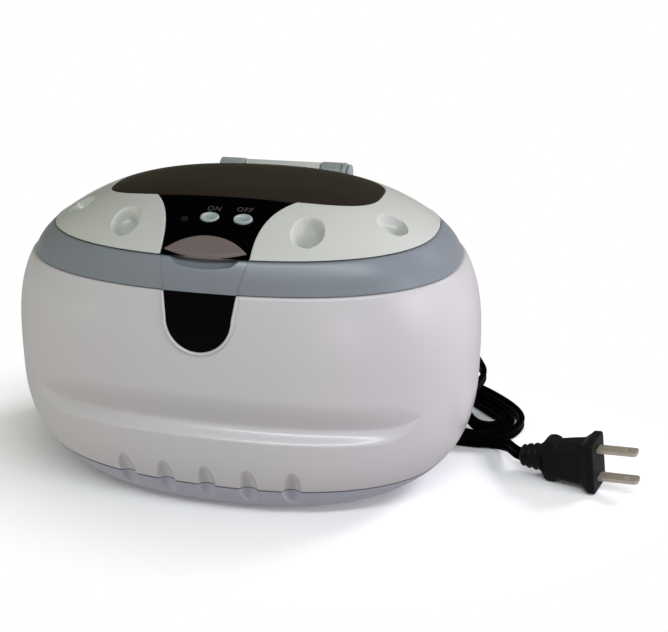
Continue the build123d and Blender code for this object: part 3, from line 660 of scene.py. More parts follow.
# Half width: it shrinks by a share of what the half length has lost
def halfWidth(z):
    return casing["halfWidth"] - casing["widthShare"] * (casing["halfLength"] - halfLength(z))


# Point of a superellipse: half size times the cosine or sine raised to 2 over the power
def ovalPoint(turn, halfX, halfY, power, middleY=0.0):
    c, s = np.cos(turn), np.sin(turn)
    x = halfX * np.sign(c) * np.abs(c) ** (2 / power)
    return x, middleY + halfY * np.sign(s) * np.abs(s) ** (2 / power)


# Turns round a superellipse, spaced so that steps shrink by the given density where it is above 1
def ovalTurns(count, power, halfX, halfY, density=lambda x, y: 1.0):
    fine = np.linspace(-0.5 * np.pi, 1.5 * np.pi, 40001)
    x, y = ovalPoint(fine, halfX, halfY, power)
    travelled = runningLength(x, y, density((x[1:] + x[:-1]) / 2, (y[1:] + y[:-1]) / 2))
    return np.interp(np.arange(count) / count * travelled[-1], travelled, fine)


# Skin point at a turn and height, moved inwards by an inset
def skinPoint(turn, z, inset):
    x, y = ovalPoint(turn, halfLength(z) - inset, halfWidth(z) - inset, casing["power"])
    return np.stack([x, y, z + 0 * x], axis=-1)


# Y of the skin's front at a place seen from the front, moved inwards by an inset
def frontY(x, z, inset=0.0):
    a, b = halfLength(z) - inset, halfWidth(z) - inset
    return -b * (1 - np.minimum(np.abs(x / a), 1) ** casing["power"]) ** (1 / casing["power"])


# More columns towards the middle of the front
def frontDensity(x, y):
    extra, half, fade = casing["fineFront"]
    return 1 + extra * smoothStep((half - np.abs(x)) / fade) * (y < 0)


shellTurns = ovalTurns(casing["columns"], casing["power"], *casing["spacing"], frontDensity)

notches = {"pitch": 17.6, "middleX": 0.5, "count": 5, "low": 5.0, "high": 24.5, "lift": 2.0,
           "size": (3.95, 3.1, 13.9), "rim": 0.25, "near": 0.6, "least": 0.012}


# Notches: each is an ellipsoid leaning with the skin. A point is carried back along Y to the ellipsoid's
# far side, which is the larger root of a quadratic; a soft maximum with zero rounds the rim.
def cutNotches(points):
    depth = np.zeros(points.shape[:-1])
    for index in range(notches["count"]):
        x = notches["middleX"] + (index - notches["count"] // 2) * notches["pitch"]
        low = np.array([x, frontY(x, notches["low"]), notches["low"]])
        high = np.array([x, frontY(x, notches["high"]), notches["high"]])
        middleZ = (notches["low"] + notches["high"]) / 2
        across = unitRows(np.array([1.0, frontY(x + 0.5, middleZ) - frontY(x - 0.5, middleZ), 0.0]))
        up = unitRows(high - low)
        out = unitRows(np.cross(across, up))
        out = out if out[1] < 0 else -out
        axes = np.stack([across, np.cross(up, across), up])
        reach = np.array(notches["size"])
        start = (points - (low + high) / 2 - out * notches["lift"]) @ axes.T / reach
        step = axes[:, 1] / reach
        a, b, c = step @ step, start @ step, (start ** 2).sum(-1) - 1
        square = b * b - a * c
        root = (-b + np.sqrt(np.maximum(square, 0)) - 3 * np.sqrt(np.maximum(-square, 0))) / a
        near = np.abs(points[..., 0] - x) < notches["near"] * notches["pitch"]
        soft = (root + np.sqrt(root ** 2 + notches["rim"] ** 2)) / 2
        depth = np.maximum(depth, np.where(near & (points[..., 1] < 0) & (soft > notches["least"]), soft, 0))
    moved = points.copy()
    moved[..., 1] += depth
    return moved


# Heights are on the front: the lip below, the top above, and how they sag, rise and drop to the ends
scoop = {
    "lip": 37.9,
    "sag": 2.0,
    "rise": 10.2,
    "top": 57.9,
    "drop": (5.6, 4.4),
    "powers": (2.2, 20),        # of the gentle and the steep part of both edges
    "ends": (80.0, 85.0),
    "depth": 4.5,
    "fade": 7,
    "peak": (0.27, 0.06, 4),    # where it is deepest, in the middle, then the gain and power towards the ends
    "enterPower": 0.8,
    "leaveSoft": 0.12,
    "leavePower": 1.6,
}


# Share of the scoop's half length on either side
def scoopShare(x):
    return np.minimum(np.where(x < 0, -x / scoop["ends"][0], x / scoop["ends"][1]), 1)


# Scoop's edges: heights plus or minus a gentle and a steep power of that share
def scoopEdges(x):
    gentle, steep = (scoopShare(x) ** power for power in scoop["powers"])
    low = scoop["lip"] - scoop["sag"] * gentle + scoop["rise"] * steep
    return low, scoop["top"] - scoop["drop"][0] * gentle - scoop["drop"][1] * steep


# Scoop: above the lip the skin drops in along half a cosine, then comes back out in a long flattening curve
def scoopInset(share, x, front):
    far = scoopShare(x)
    deepest = scoop["depth"] * (1 - far ** scoop["fade"])
    place, gain, power = scoop["peak"]
    peak = place + gain * far ** power
    entering = (1 - np.cos(np.pi * np.clip(share / peak, 0, 1) ** scoop["enterPower"])) / 2
    leaving = np.clip((share - peak) / (1 - peak), 0, 1)
    leaving = np.clip((1 + scoop["leaveSoft"]) * leaving ** 2 / (leaving + scoop["leaveSoft"]), 0, 1)
    return deepest * np.where(share < peak, entering, (1 - leaving) ** scoop["leavePower"]) * front


badge = {"topHalf": 15.0, "radius": 13.4, "bottomZ": 75.1, "beadWidth": 1.3, "beadHeight": 0.7,
         "beadFoot": 0.95, "beadPower": 0.8, "footShare": 0.8, "sink": 0.9, "sinkFrom": 1.2, "sinkFade": 1.1,
         "play": 0.1, "depth": 1.15, "inset": 0.1}
badgeMiddle = badge["bottomZ"] + badge["radius"]
badgeLean = (badge["topHalf"] - badge["radius"]) / (casing["shellTop"] + 1 - badgeMiddle)


# Signed distance outside the badge's U: a half circle below, slightly leaning sides above
def badgeDistance(x, z):
    side = (np.abs(x) - badge["radius"] - badgeLean * (z - badgeMiddle)) / math.hypot(1, badgeLean)
    return np.where(z < badgeMiddle, np.hypot(x, z - badgeMiddle) - badge["radius"], side)


# Shell: rows of skin points from the foot up the outside, over the top edge and back down inside the wall.
# The badge's place is sunk in, and the notches are cut last.
def makeShell():
    atWidest, _ = ovalPoint(shellTurns, casing["halfLength"], 1.0, casing["power"])
    lip, top = scoopEdges(atWidest)
    low, high, edge, levelTop = (casing[name] for name in ("shellBottom", "shellTop", "edge", "levelTop"))
    front = np.sin(shellTurns) < 0
    level, below, inside, above = (np.linspace(0, 1, count)[1:] for count in casing["rows"])
    belowPower, insidePower = casing["rowPowers"]
    rows = [(low + edge * up, edge * back) for up, back in quarterRound(4)]
    rows += [(low + edge + (levelTop - low - edge) * share, 0) for share in level]
    rows += [(levelTop + (lip - levelTop) * share, 0) for share in below ** belowPower]
    rows += [(lip + (top - lip) * share, scoopInset(share, atWidest, front))
             for share in inside ** insidePower]
    rows += [(top + (high - edge - top) * share, 0) for share in above]
    rows += [(high - edge * left, edge * back) for back, left in quarterRound(5)[1:]]
    outer = len(rows)
    rows += casing["inside"]
    z, inset = (np.stack([value + 0 * atWidest for value in column]) for column in zip(*rows))
    points = skinPoint(shellTurns, z, inset)
    sunk = badge["sink"] * smoothStep((badge["sinkFrom"] - badgeDistance(points[:outer, :, 0], z[:outer]))
                                      / badge["sinkFade"])
    sunk = np.where(points[:outer, :, 1] < 0, sunk, 0)
    points[:outer] = cutNotches(skinPoint(shellTurns, z[:outer], inset[:outer] + sunk))
    return points.reshape(-1, 3), [gridFaces(*z.shape, wrapRows=True)]


# Bead: half a round, flattened, carried along the U on the skin
def makeBead():
    top = casing["shellTop"]
    reach = badge["radius"] + badge["beadWidth"] / 2
    arc = np.linspace(0, np.pi, 61)
    straight = np.linspace(top, badgeMiddle, 12)[:-1]
    side = reach + badgeLean * (straight - badgeMiddle)
    x = np.concatenate([side, reach * np.cos(arc), -side[::-1]])
    z = np.concatenate([straight, badgeMiddle - reach * np.sin(arc), straight[::-1]])
    turn = np.linspace(0, np.pi, 9)
    across = badge["beadWidth"] / 2 * np.cos(turn)
    across = np.concatenate([across, across[::-1] * badge["footShare"]])
    lift = badge["beadHeight"] * np.sin(turn) ** badge["beadPower"]
    lift = np.concatenate([lift, np.full(len(turn), -badge["beadFoot"])])
    tangent = unitRows(np.stack([np.gradient(x), np.gradient(z)], axis=1))
    x = x[:, None] + tangent[:, 1:] * across
    z = np.minimum(z[:, None] - tangent[:, :1] * across, top)
    rings = np.stack([x, frontY(x, z, -lift), z], axis=-1)
    return closedRings(rings, rings[[0, -1]].mean(1), reverse=True)


bodyShell = makePiece("body_shell_skin", [makeShell(), makeBead()], "base",
                      finishes["casingWhite"], ("body_shell",))
print("shell done", len(bodyShell.data.polygons))


smoothNode("base_cover", "base_tray", finishes["trayGrey"])


# Badge plate: bare and glossy, one closed loop of front and back points for each level
def makeBadgePlate():
    rows, columns = 40, 36
    low, high = badge["bottomZ"] + badge["play"], casing["shellTop"]
    z = low + (high - low) * (1 - np.cos(np.linspace(0.02, 1, rows) * np.pi / 2))
    radius = badge["radius"] - badge["play"]
    half = np.where(z < badgeMiddle, np.sqrt(np.maximum(radius ** 2 - (z - badgeMiddle) ** 2, 0.01)),
                    radius + badgeLean * (z - badgeMiddle))
    share = np.sin(np.linspace(-np.pi / 2, np.pi / 2, columns))
    x = half[:, None] * np.concatenate([share, share[::-1]])
    inset = np.repeat([badge["inset"], badge["depth"]], columns)
    rings = np.stack([x, frontY(x, z[:, None], inset), z[:, None] + 0 * x], axis=-1)
    return closedRings(rings, rings[[0, -1]].mean(1))


makePiece("badge_face", [makeBadgePlate()], "base", finishes["badgeBlack"], ("badge_plate",))
print("tray and badge done")


# Ring round the deck: a band of the skin, open at the front where the insert sits
ring = {
    "edge": 0.3,
    "setBack": 0.7,             # how far the foot stands back from the skin, fading over the rise
    "setBackRise": 7,
    "topEdge": 0.8,
    "depth": 4.8,
    "columns": 420,
    "rows": 14,
    "spacing": (90.0, 62.0),
    "deckZ": (101.2, 104.0),
    "deckOverlap": 0.3,
    "lowHalf": 15.0,            # half width of the insert at its foot
    "flare": 2.9,
    "play": 0.15,
    "scoopHalf": 15.2,
    "scoopDepth": 3.3,
    "scoopSide": 0.25,
    "scoopTop": 0.6,
    "lip": 0.45,
    "lipPower": 1.6,
    "insertColumns": 90,
    "insertRows": (26, 9),      # up the front and back over the lip
}
tankOval = {"centreY": 5.0, "half": (74.0, 42.0), "power": 3.0, "gap": 1.2, "columns": 240}


# Half width of the insert: it flares in a smooth step from foot to seam
def insertHalf(z):
    rise = (z - casing["ringBottom"]) / (casing["seamZ"] - casing["ringBottom"])
    return ring["lowHalf"] + ring["flare"] * smoothStep(rise)


# Turn on the front at which the skin has the given x: the oval's cosine power solved for the turn
def turnAtFront(x, z):
    share = np.clip(np.abs(x) / halfLength(z), 0, 1) ** (casing["power"] / 2)
    return np.where(x > 0, -np.arccos(share), np.pi + np.arccos(share))


# Band: outer face from bottom to top with rounded edges, set back a little at the foot, then back down inside
def makeBand():
    low, high = casing["ringBottom"], casing["ringTop"]
    edge, topEdge, depth, rows = (ring[name] for name in ("edge", "topEdge", "depth", "rows"))
    turn = np.linspace(0, np.pi / 2, 5)
    z = np.concatenate([low + edge * (1 - np.cos(turn)), np.linspace(low + edge, high - topEdge, rows)[1:-1],
                        high - topEdge + topEdge * np.sin(turn), [high, low]])
    inset = np.concatenate([edge * (1 - np.sin(turn)), np.zeros(rows - 2), topEdge * (1 - np.cos(turn)),
                            [depth, depth]])
    inset[:-2] += ring["setBack"] * (1 - smoothStep((z[:-2] - low) / ring["setBackRise"]))
    share = ovalTurns(ring["columns"], casing["power"], *ring["spacing"])
    share = (np.sort(share) - share.min()) / (share.max() - share.min())
    start, end = (turnAtFront(side * insertHalf(z), z)[:, None] for side in (1, -1))
    return closedBar(skinPoint(start + (end - start) * share, z[:, None], inset[:, None]))


# Deck: flat plate between the band and the tank's opening
def makeDeck():
    columns = tankOval["columns"]
    turn = fullRound(columns)
    low, high = ring["deckZ"]
    halfX, halfY = (half + tankOval["gap"] for half in tankOval["half"])
    x, y = ovalPoint(turn, halfX, halfY, tankOval["power"], tankOval["centreY"])
    loops = [skinPoint(turn, np.full(columns, z), ring["depth"] - ring["deckOverlap"]) for z in (low, high)]
    loops += [np.stack([x, y, np.full(columns, z)], axis=-1) for z in (high, low)]
    return np.concatenate(loops), [gridFaces(4, columns, wrapRows=True)]


makePiece("deck_ring_band", [makeBand(), makeDeck()], "base", finishes["ringGrey"],
          ("deck_ring",))


# Insert: closes the band at the front; its top is scooped out below the console's lip
def makeInsert():
    low, high = casing["ringBottom"], casing["ringTop"]
    share = np.linspace(-1, 1, ring["insertColumns"])
    edge, lip, depth = ring["edge"], ring["lip"], ring["depth"]
    upwards, backwards = (np.linspace(0, 1, count)[1:] for count in ring["insertRows"])
    shareX = np.clip(np.abs(share) * (ring["lowHalf"] + ring["flare"]) / ring["scoopHalf"], 0, 1)
    dip = ring["scoopDepth"] * (1 - shareX ** 2) ** 0.5 * smoothStep((1 - shareX) / ring["scoopSide"])
    topZ = high - ring["topEdge"] * ring["scoopTop"] - dip
    rows = [(low + edge * up, edge * back) for up, back in quarterRound(5)]
    rows += [(low + edge + (topZ - low - edge) * rise, 0) for rise in upwards]
    rows += [(topZ + lip * (1 - left), lip * back) for back, left in quarterRound(5)[1:]]
    rows += [(topZ + lip + (high - topZ - lip) * back ** ring["lipPower"], lip + (depth - lip) * back)
             for back in backwards]
    rows.append((low, depth))
    z, inset = (np.stack([value + 0 * share for value in column]) for column in zip(*rows))
    x = (insertHalf(z) - ring["play"]) * share
    return closedBar(np.stack([x, frontY(x, z, inset), z], axis=-1))


makePiece("front_insert", [makeInsert()], "base", finishes["insertGrey"], ("ring_insert",))


hinge = {
    "axis": (65.0, 116.0),
    "lugRadius": 5.4,
    "lugs": (19.0, 31.2),
    "barEdge": 0.5,
    "neck": ((59.7, 113.4), (60.1, 111.2), (59.4, 109.2), (58.8, 107.4), (58.8, 100.4), (64.6, 100.4),
             (67.6, 105.8), (70.2, 110.8), (70.4, 113.4)),
    "lugMiddle": (64.5, 113.0),
    "slot": (28.6, 29.3),
    "slotDepth": 1.1,
    "slotSlope": 0.12,
    "cap": (31.22, 33.4),
    "capRadius": 4.8,
    "capEdge": 1.0,
    "pin": (-28.9, 31.7),
    "pinRadius": 1.48,
    "pinEdge": 0.3,
    "barrelRadius": 5.0,
    "barrelHalf": 18.6,
    "arm": ((58.8, 111.0), (61.0, 111.0), (65.0, 111.1), (66.0, 116.0), (65.0, 120.9), (60.0, 119.5),
            (56.5, 118.2), (53.0, 116.3), (53.0, 114.4)),
    "armHalf": 18.4,
    "armEdge": 0.4,
}


# Bar along X with a closed outline in Y and Z; each station shrinks the outline towards its centre
def makeBar(outline, centre, stations):
    outline = np.asarray(outline, float)
    radial = outline - centre
    reach = np.linalg.norm(radial, axis=1, keepdims=True)
    rings = np.stack([np.column_stack([np.full(len(outline), x),
                                       centre + radial * np.maximum(reach - cut, 0.2) / reach])
                      for x, cut in stations])
    return closedRings(rings, [(stations[end][0], *outline.mean(0)) for end in (0, -1)])


# Stations that round both ends of a bar with a quarter circle
def roundedStations(low, high, edge, between=()):
    steps = quarterRound(6)
    first = [(low + edge * left, edge * cut) for cut, left in steps[::-1]]
    return first + list(between) + [(high - edge * left, edge * cut) for cut, left in steps]


# Round bar on the hinge's axis
def makeRoundBar(radius, low, high, edge):
    turn = fullRound(48)
    centre = np.array(hinge["axis"])
    outline = centre + radius * np.column_stack([np.cos(turn), np.sin(turn)])
    return makeBar(outline, centre, roundedStations(low, high, edge))


# Lugs: a half circle on the hinge's axis over a curved neck; the right one has a groove near its end
def makeLugs():
    arc = np.linspace(0, np.pi, 25)
    crown = np.array(hinge["axis"]) + hinge["lugRadius"] * np.column_stack([np.cos(arc), np.sin(arc)])
    outline = np.concatenate([crown, hinge["neck"]])
    inner, outer = hinge["lugs"]
    low, high = hinge["slot"]
    slope, depth = hinge["slotSlope"], hinge["slotDepth"]
    groove = [(low, 0.0), (low + slope, depth), (high - slope, depth), (high, 0.0)]
    return [makeBar(outline, hinge["lugMiddle"], roundedStations(inner, outer, hinge["barEdge"], groove)),
            makeBar(outline, hinge["lugMiddle"], roundedStations(-outer, -inner, hinge["barEdge"]))]


makePiece("hinge_lugs", makeLugs(), "base", finishes["hingeGrey"])


pinAndCap = [makeRoundBar(hinge["capRadius"], *hinge["cap"], hinge["capEdge"]),
             makeRoundBar(hinge["pinRadius"], *hinge["pin"], hinge["pinEdge"])]
makePiece("hinge_pin_cap", pinAndCap, "base", finishes["hingeGrey"], ("hinge_pin",))
print("ring and hinge done")


# Lid: a dome over the seam outline
lid = {
    "top": 129.3,
    "power": 3.3,
    "bottomZ": 110.72,
    "wall": 2.8,
    "windowHalf": 59.0,
    "windowFront": -29.4,
    "windowRear": 34.0,
    "windowPower": 3.0,
    "windowColumns": 220,
    "windowSection": (0.15, 0.35, 1.7, 3.0, 3.2),               # play, edge, sheet, flange and its foot
    "footHalf": 17.8,           # half width of the console's opening at its front, footY
    "footY": -57.0,
    "flare": 10.6,              # how much wider that is after the flare's length
    "flareLength": 28.0,
    "play": 0.5,
    "edge": 0.7,
    "sideEnd": 7,               # the console's side edge ends this far behind the window's front
    "grips": ((38.0, -44.0, 6.5, 8.2, 5.4), (67.6, -21.6, 6.7, 6.7, 4.5)),     # x, y, half sizes, depth
    "gripSoft": 0.06,
    "gripPower": 4.5,
    "gripRim": -2.2,
    "gripBelow": 1.05,          # the underside follows the grips a little deeper
    "columns": 640,
    "across": (64, 24),         # steps over the top and the underside, apart from the fine ones at the edges
    "fineGrips": (1.7, -5, 12),                 # extra columns at the front, from this y on, and their fade
    "fineEnds": (5, 0.03, 0.02),                # extra columns beside the console, reach and fade of the turn
    "pullPower": 14,
}
seamHalf = (float(halfLength(casing["seamZ"])), float(halfWidth(casing["seamZ"])))
windowMiddle = (lid["windowFront"] + lid["windowRear"]) / 2
windowDepth = (lid["windowRear"] - lid["windowFront"]) / 2


# Dome: height falls with a power of the superellipse radius of the seam outline
def domeZ(x, y):
    share = (np.abs(x / seamHalf[0]) ** casing["power"] + np.abs(y / seamHalf[1]) ** casing["power"])
    return casing["seamZ"] + (lid["top"] - casing["seamZ"]) * (1 - share ** (lid["power"] / casing["power"]))


# Points on the dome, lifted straight up
def domePoints(x, y, lift=0.0):
    return np.stack([x, y, domeZ(x, y) + lift], axis=-1)


# Normal from the dome's slopes over a small step either way
def domeNormal(x, y, step=0.05):
    slopeX = (domeZ(x + step, y) - domeZ(x - step, y)) / (2 * step)
    slopeY = (domeZ(x, y + step) - domeZ(x, y - step)) / (2 * step)
    return unitRows(np.stack([-slopeX, -slopeY, np.ones_like(slopeX)], axis=-1))


# Half width of the console's opening: it flares out with the square of the way back from its foot
def consoleHalf(y):
    back = np.maximum(y - lid["footY"], 0) / lid["flareLength"]
    return lid["footHalf"] + lid["flare"] * back ** 2 + lid["play"]


# Quarter-round drop near an edge: zero past the radius, the full radius at the edge itself
def edgeDrop(distance, radius):
    away = np.clip(1 - distance / radius, 0, 1)
    return radius * (1 - np.sqrt(1 - away ** 2))


# Grips: bowls of depth * (1 - r^power) square to the dome, r over their oval, with a soft maximum at the rim
def gripDepthAt(x, y):
    depth = np.zeros_like(x)
    for gripX, gripY, gripWide, gripLong, gripDeep in lid["grips"]:
        for side in (-1, 1):
            centre = np.array([side * gripX, gripY, float(domeZ(side * gripX, gripY))])
            away = domePoints(x, y) - centre
            normal = domeNormal(np.array(side * gripX), np.array(gripY))
            across = unitRows(np.cross(np.array([0.0, 1.0, 0.0]), normal))
            tangents = np.stack([across, np.cross(normal, across)])
            flat = (away - (away @ normal)[..., None] * normal) @ tangents.T / (gripWide, gripLong)
            bowl = gripDeep * (1 - (flat ** 2).sum(-1) ** (lid["gripPower"] / 2))
            soft = (bowl + np.sqrt(bowl ** 2 + lid["gripSoft"] ** 2)) / 2
            depth = np.maximum(depth, soft * (bowl > lid["gripRim"]))
    return depth


# Turn at which an oval meets the console's side
def consoleTurn(halfX, halfY, power, centreY):
    turns = np.linspace(-np.pi / 2, -0.9, 4001)
    x, y = ovalPoint(turns, halfX, halfY, power, centreY)
    return float(np.interp(0.0, x - consoleHalf(y), turns))


# Frame: a band blended between the window's outline and the seam, from one side of the console round the
# back to the other. Its two ends are pulled onto the console's side curve, and the pull fades along the band.
def makeLidFrame():
    window = (lid["windowHalf"], windowDepth, lid["windowPower"], windowMiddle)
    seam = (*seamHalf, casing["power"], 0.0)
    startIn, startOut = consoleTurn(*window), consoleTurn(*seam)

    # Steps are finest over the finger grips at the front and close up beside the console
    fine = np.linspace(startOut, math.pi - startOut, 20001)
    x, y = ovalPoint(fine, *seam)
    fromEnd = np.minimum(fine[1:] - startOut, math.pi - startOut - fine[1:])
    extra, start, fade = lid["fineGrips"]
    endExtra, endReach, endFade = lid["fineEnds"]
    weight = 1 + extra * smoothStep((start - y[1:]) / fade)
    weight = weight + endExtra * smoothStep((endReach - fromEnd) / endFade)
    travelled = runningLength(x, y, weight)
    share = np.interp(np.linspace(0, travelled[-1], lid["columns"]), travelled, np.linspace(0, 1, len(fine)))
    inner, outer = (np.stack(ovalPoint(start + (math.pi - 2 * start) * share, *oval), axis=-1)
                    for start, oval in ((startIn, window), (startOut, seam)))

    def bandAt(across):
        band = inner * (1 - across[:, None, None]) + outer * across[:, None, None]
        for end, sign, fromOther in ((0, 1, 1 - share), (-1, -1, share)):
            pull = sign * consoleHalf(band[:, end, 1]) - band[:, end, 0]
            band[:, :, 0] += pull[:, None] * fromOther ** lid["pullPower"]
        return band
    over, beneath = lid["across"]
    band = bandAt(np.concatenate([[0, 0.006, 0.014, 0.022], np.linspace(0.034, 0.97, over),
                                  [0.98, 0.988, 0.995, 1.0]]))
    x, y = band[..., 0], band[..., 1]
    top = domePoints(x, y) - domeNormal(x, y) * gripDepthAt(x, y)[..., None]
    windowGap = np.linalg.norm(band - inner, axis=-1)
    sideGap = np.abs(np.abs(x) - consoleHalf(y))
    sideGap = np.where(y > lid["windowFront"] + lid["sideEnd"], lid["edge"], sideGap)
    top[..., 2] -= edgeDrop(windowGap, lid["edge"]) + edgeDrop(sideGap, lid["edge"])
    top[..., 2] = np.maximum(top[..., 2], lid["bottomZ"])

    # Underside: the wall's depth below the top, never below the lid's flat foot
    under = bandAt(np.concatenate([[0.985], np.linspace(0.93, 0.0, beneath)]))
    x, y = under[..., 0], under[..., 1]
    low = np.maximum(domeZ(x, y) - lid["wall"] - lid["gripBelow"] * gripDepthAt(x, y), lid["bottomZ"])
    low = np.maximum(np.minimum(low, domeZ(x, y) - 0.05), lid["bottomZ"] - 0.02)
    return closedBar(np.concatenate([top, np.stack([x, y, low], axis=-1)]), reverse=True)


# Barrel: a round bar between the lugs and the arm that carries the lid, both with rounded ends
def makeBarrel():
    half, armHalf = hinge["barrelHalf"], hinge["armHalf"]
    arm = np.array(hinge["arm"])
    return [makeRoundBar(hinge["barrelRadius"], -half, half, hinge["barEdge"]),
            makeBar(arm, arm.mean(0), roundedStations(-armHalf, armHalf, hinge["armEdge"]))]


makePiece("lid_shell", [makeLidFrame()] + makeBarrel(), "lid", finishes["lidWhite"],
          ("lid_frame",), sharpAngle=40.0)
print("lid frame done")


# Window: rings of a smoked sheet on the dome, from its middle out over a rounded edge, then down a step to
# the flange under the frame and back in below
def makeWindow():
    turn = ovalTurns(lid["windowColumns"], lid["windowPower"], lid["windowHalf"], windowDepth)
    play, soft, sheet, flange, deep = lid["windowSection"]

    def ringAt(grow, drop, share=1.0):
        x, y = ovalPoint(turn, (lid["windowHalf"] + grow) * share, (windowDepth + grow) * share,
                         lid["windowPower"], windowMiddle)
        y = np.where(np.abs(x) < consoleHalf(y), np.maximum(y, lid["windowFront"] + 0.02), y)
        return domePoints(x, y, -drop)
    rings = [ringAt(-play, 0.0, share) for share in np.linspace(0.06, 0.985, 34)]
    rings += [ringAt(-play - soft * left, soft * drop) for drop, left in quarterRound(5)]
    rings += [ringAt(-play, sheet), ringAt(flange, sheet + 0.08), ringAt(flange, deep), ringAt(-play, deep)]
    rings += [ringAt(-play, deep, share) for share in (0.9, 0.7, 0.4, 0.1)]
    top = np.array([0, windowMiddle, float(domeZ(0.0, windowMiddle))])
    return closedRings(np.stack(rings), np.stack([top, top - [0, 0, deep]]), reverse=True)


makePiece("lid_smoked_window", [makeWindow()], "lid", finishes["smokedWindow"],
          ("lid_window",))


console = {
    "buttonY": -43.8,
    "buttonX": (-2.2, 11.6),
    "buttonSize": (7.8, 5.5),
    "buttonEdge": 0.7,
    "proud": 0.6,
    "hollow": 0.75,
    "skirt": 0.8,
    "skirtZ": (-5.6, -4.4),
    "shoulder": 0.75,           # share of the edge's rounding that also narrows the long way
    "lensTip": 17.0,
    "lensTipY": -57.3,
    "lensY": (-59.9, -52.0),
    "lensPlay": 0.1,
    "crown": (0.5, 3),          # height, and how steeply it rises from the edge
    "lensFoot": 0.9,
}

# Plane on the dome between the buttons, leaning only from front to back: origin, across, back and normal
middleX, middleY, step = sum(console["buttonX"]) / 2, console["buttonY"], 0.5
slope = float(domeZ(middleX, middleY + step) - domeZ(middleX, middleY - step)) / (2 * step)
buttonOrigin = np.array([middleX, middleY, float(domeZ(middleX, middleY))])
panelAcross, panelNormal = np.array([1.0, 0, 0]), unitRows(np.array([0.0, -slope, 1.0]))
panelBack = np.cross(panelNormal, panelAcross)


# Button: rings of an ellipse up its side, over a rounded edge and in to a slightly hollow top
def makeButton(x):
    turn = fullRound(64)
    halfX, halfY = console["buttonSize"][0] / 2, console["buttonSize"][1] / 2
    edge, skirt, proud, hollow = (console[name] for name in ("buttonEdge", "skirt", "proud", "hollow"))
    foot, shelf = console["skirtZ"]
    stations = [(skirt, foot), (skirt, shelf), (0.0, shelf), (0.0, proud - edge)]
    stations += [(-edge * back, proud - edge * left) for back, left in quarterRound(7)[1:]]
    stations += [(-halfY + (halfY - edge) * share, proud - hollow * (1 - share ** 2))
                 for share in (0.95, 0.85, 0.7, 0.5, 0.3, 0.12)]
    centre = buttonOrigin + panelAcross * (x - buttonOrigin[0])
    growX = halfX / halfY * console["shoulder"]
    rings = [centre + panelAcross * ((halfX + grow * growX) * np.cos(turn))[:, None]
             + panelBack * ((halfY + grow) * np.sin(turn))[:, None] + panelNormal * height
             for grow, height in stations]
    ends = [centre + panelNormal * foot, centre + panelNormal * (proud - hollow)]
    return closedRings(np.stack(rings), np.stack(ends))


for label, x in zip(("on", "off"), console["buttonX"]):
    makePiece(label + "_button_cap", [makeButton(x)], label + "_button",
              finishes["buttonGrey"], (label + "_button",))


smoothNode("console_panel", "console_cover", finishes["panelBlack"], 30.0)


# Lens: two arcs that meet in points, crowned over the panel and closed below
def makeLens():
    columns, rows = 72, 15
    tip, tipY, play = console["lensTip"], console["lensTipY"], console["lensPlay"]
    u = np.sin(np.linspace(-np.pi / 2, np.pi / 2, columns)) * 0.9995
    v = np.linspace(0, 1, rows)[:, None]

    # Y along the arc of a circle that runs through both tips and reaches the given side in the middle
    def arcY(side):
        sag = side - tipY
        radius = (tip ** 2 + sag ** 2) / (2 * abs(sag))
        return tipY + math.copysign(1, sag) * (np.sqrt(radius ** 2 - (u * tip) ** 2) - (radius - abs(sag)))
    front, rear = console["lensY"]
    y = arcY(front + play) * (1 - v) + arcY(rear - play) * v
    x = np.broadcast_to(u * (tip - play), y.shape)
    edgeShare = np.minimum(v, 1 - v) * 2 * np.sqrt(np.maximum(1 - u ** 2, 0))
    height, steepness = console["crown"]
    crown = height * np.minimum(1, edgeShare * steepness) ** 0.5
    top = domePoints(x, y, crown)
    top[..., 2] = np.maximum(top[..., 2], casing["ringTop"] + play)
    low = top[::-1].copy()
    low[..., 2] = np.maximum(low[..., 2] - crown[::-1] - console["lensFoot"], casing["ringTop"])
    return closedBar(np.concatenate([top, low]))


makePiece("console_smoked_lens", [makeLens()], "base", finishes["smokedLens"],
          ("console_lens",))
print("console done")


# Legends: the built-in letters as a film on the dome, a little taller than they are drawn
legends = {
    "size": 3.5,
    "spacing": 1.15,
    "tall": 1.12,
    "film": 0.05,
    "texts": (("ON", "on_legend", (-1.6, -39.1)), ("OFF", "off_legend", (10.9, -38.5))),
}


def makeLegend(text, name, place):
    writing = bpy.data.curves.new(name, "FONT")
    writing.body = text
    writing.size = legends["size"]
    writing.space_character = legends["spacing"]
    writing.align_x = "CENTER"
    writing.align_y = "CENTER"
    writing.extrude = legends["film"] / 2
    holder = addObject(name, writing)
    mesh = bpy.data.meshes.new_from_object(holder)
    bpy.data.objects.remove(holder)
    x, y, z = meshPoints(mesh).T
    points = domePoints(place[0] + x, place[1] + y * legends["tall"], legends["film"] + z)
    mesh.vertices.foreach_set("co", (points * mm).ravel())
    mesh.update()
    placePiece(name, mesh, "base", finishes["printGrey"], ())


for text, name, place in legends["texts"]:
    makeLegend(text, name, place)


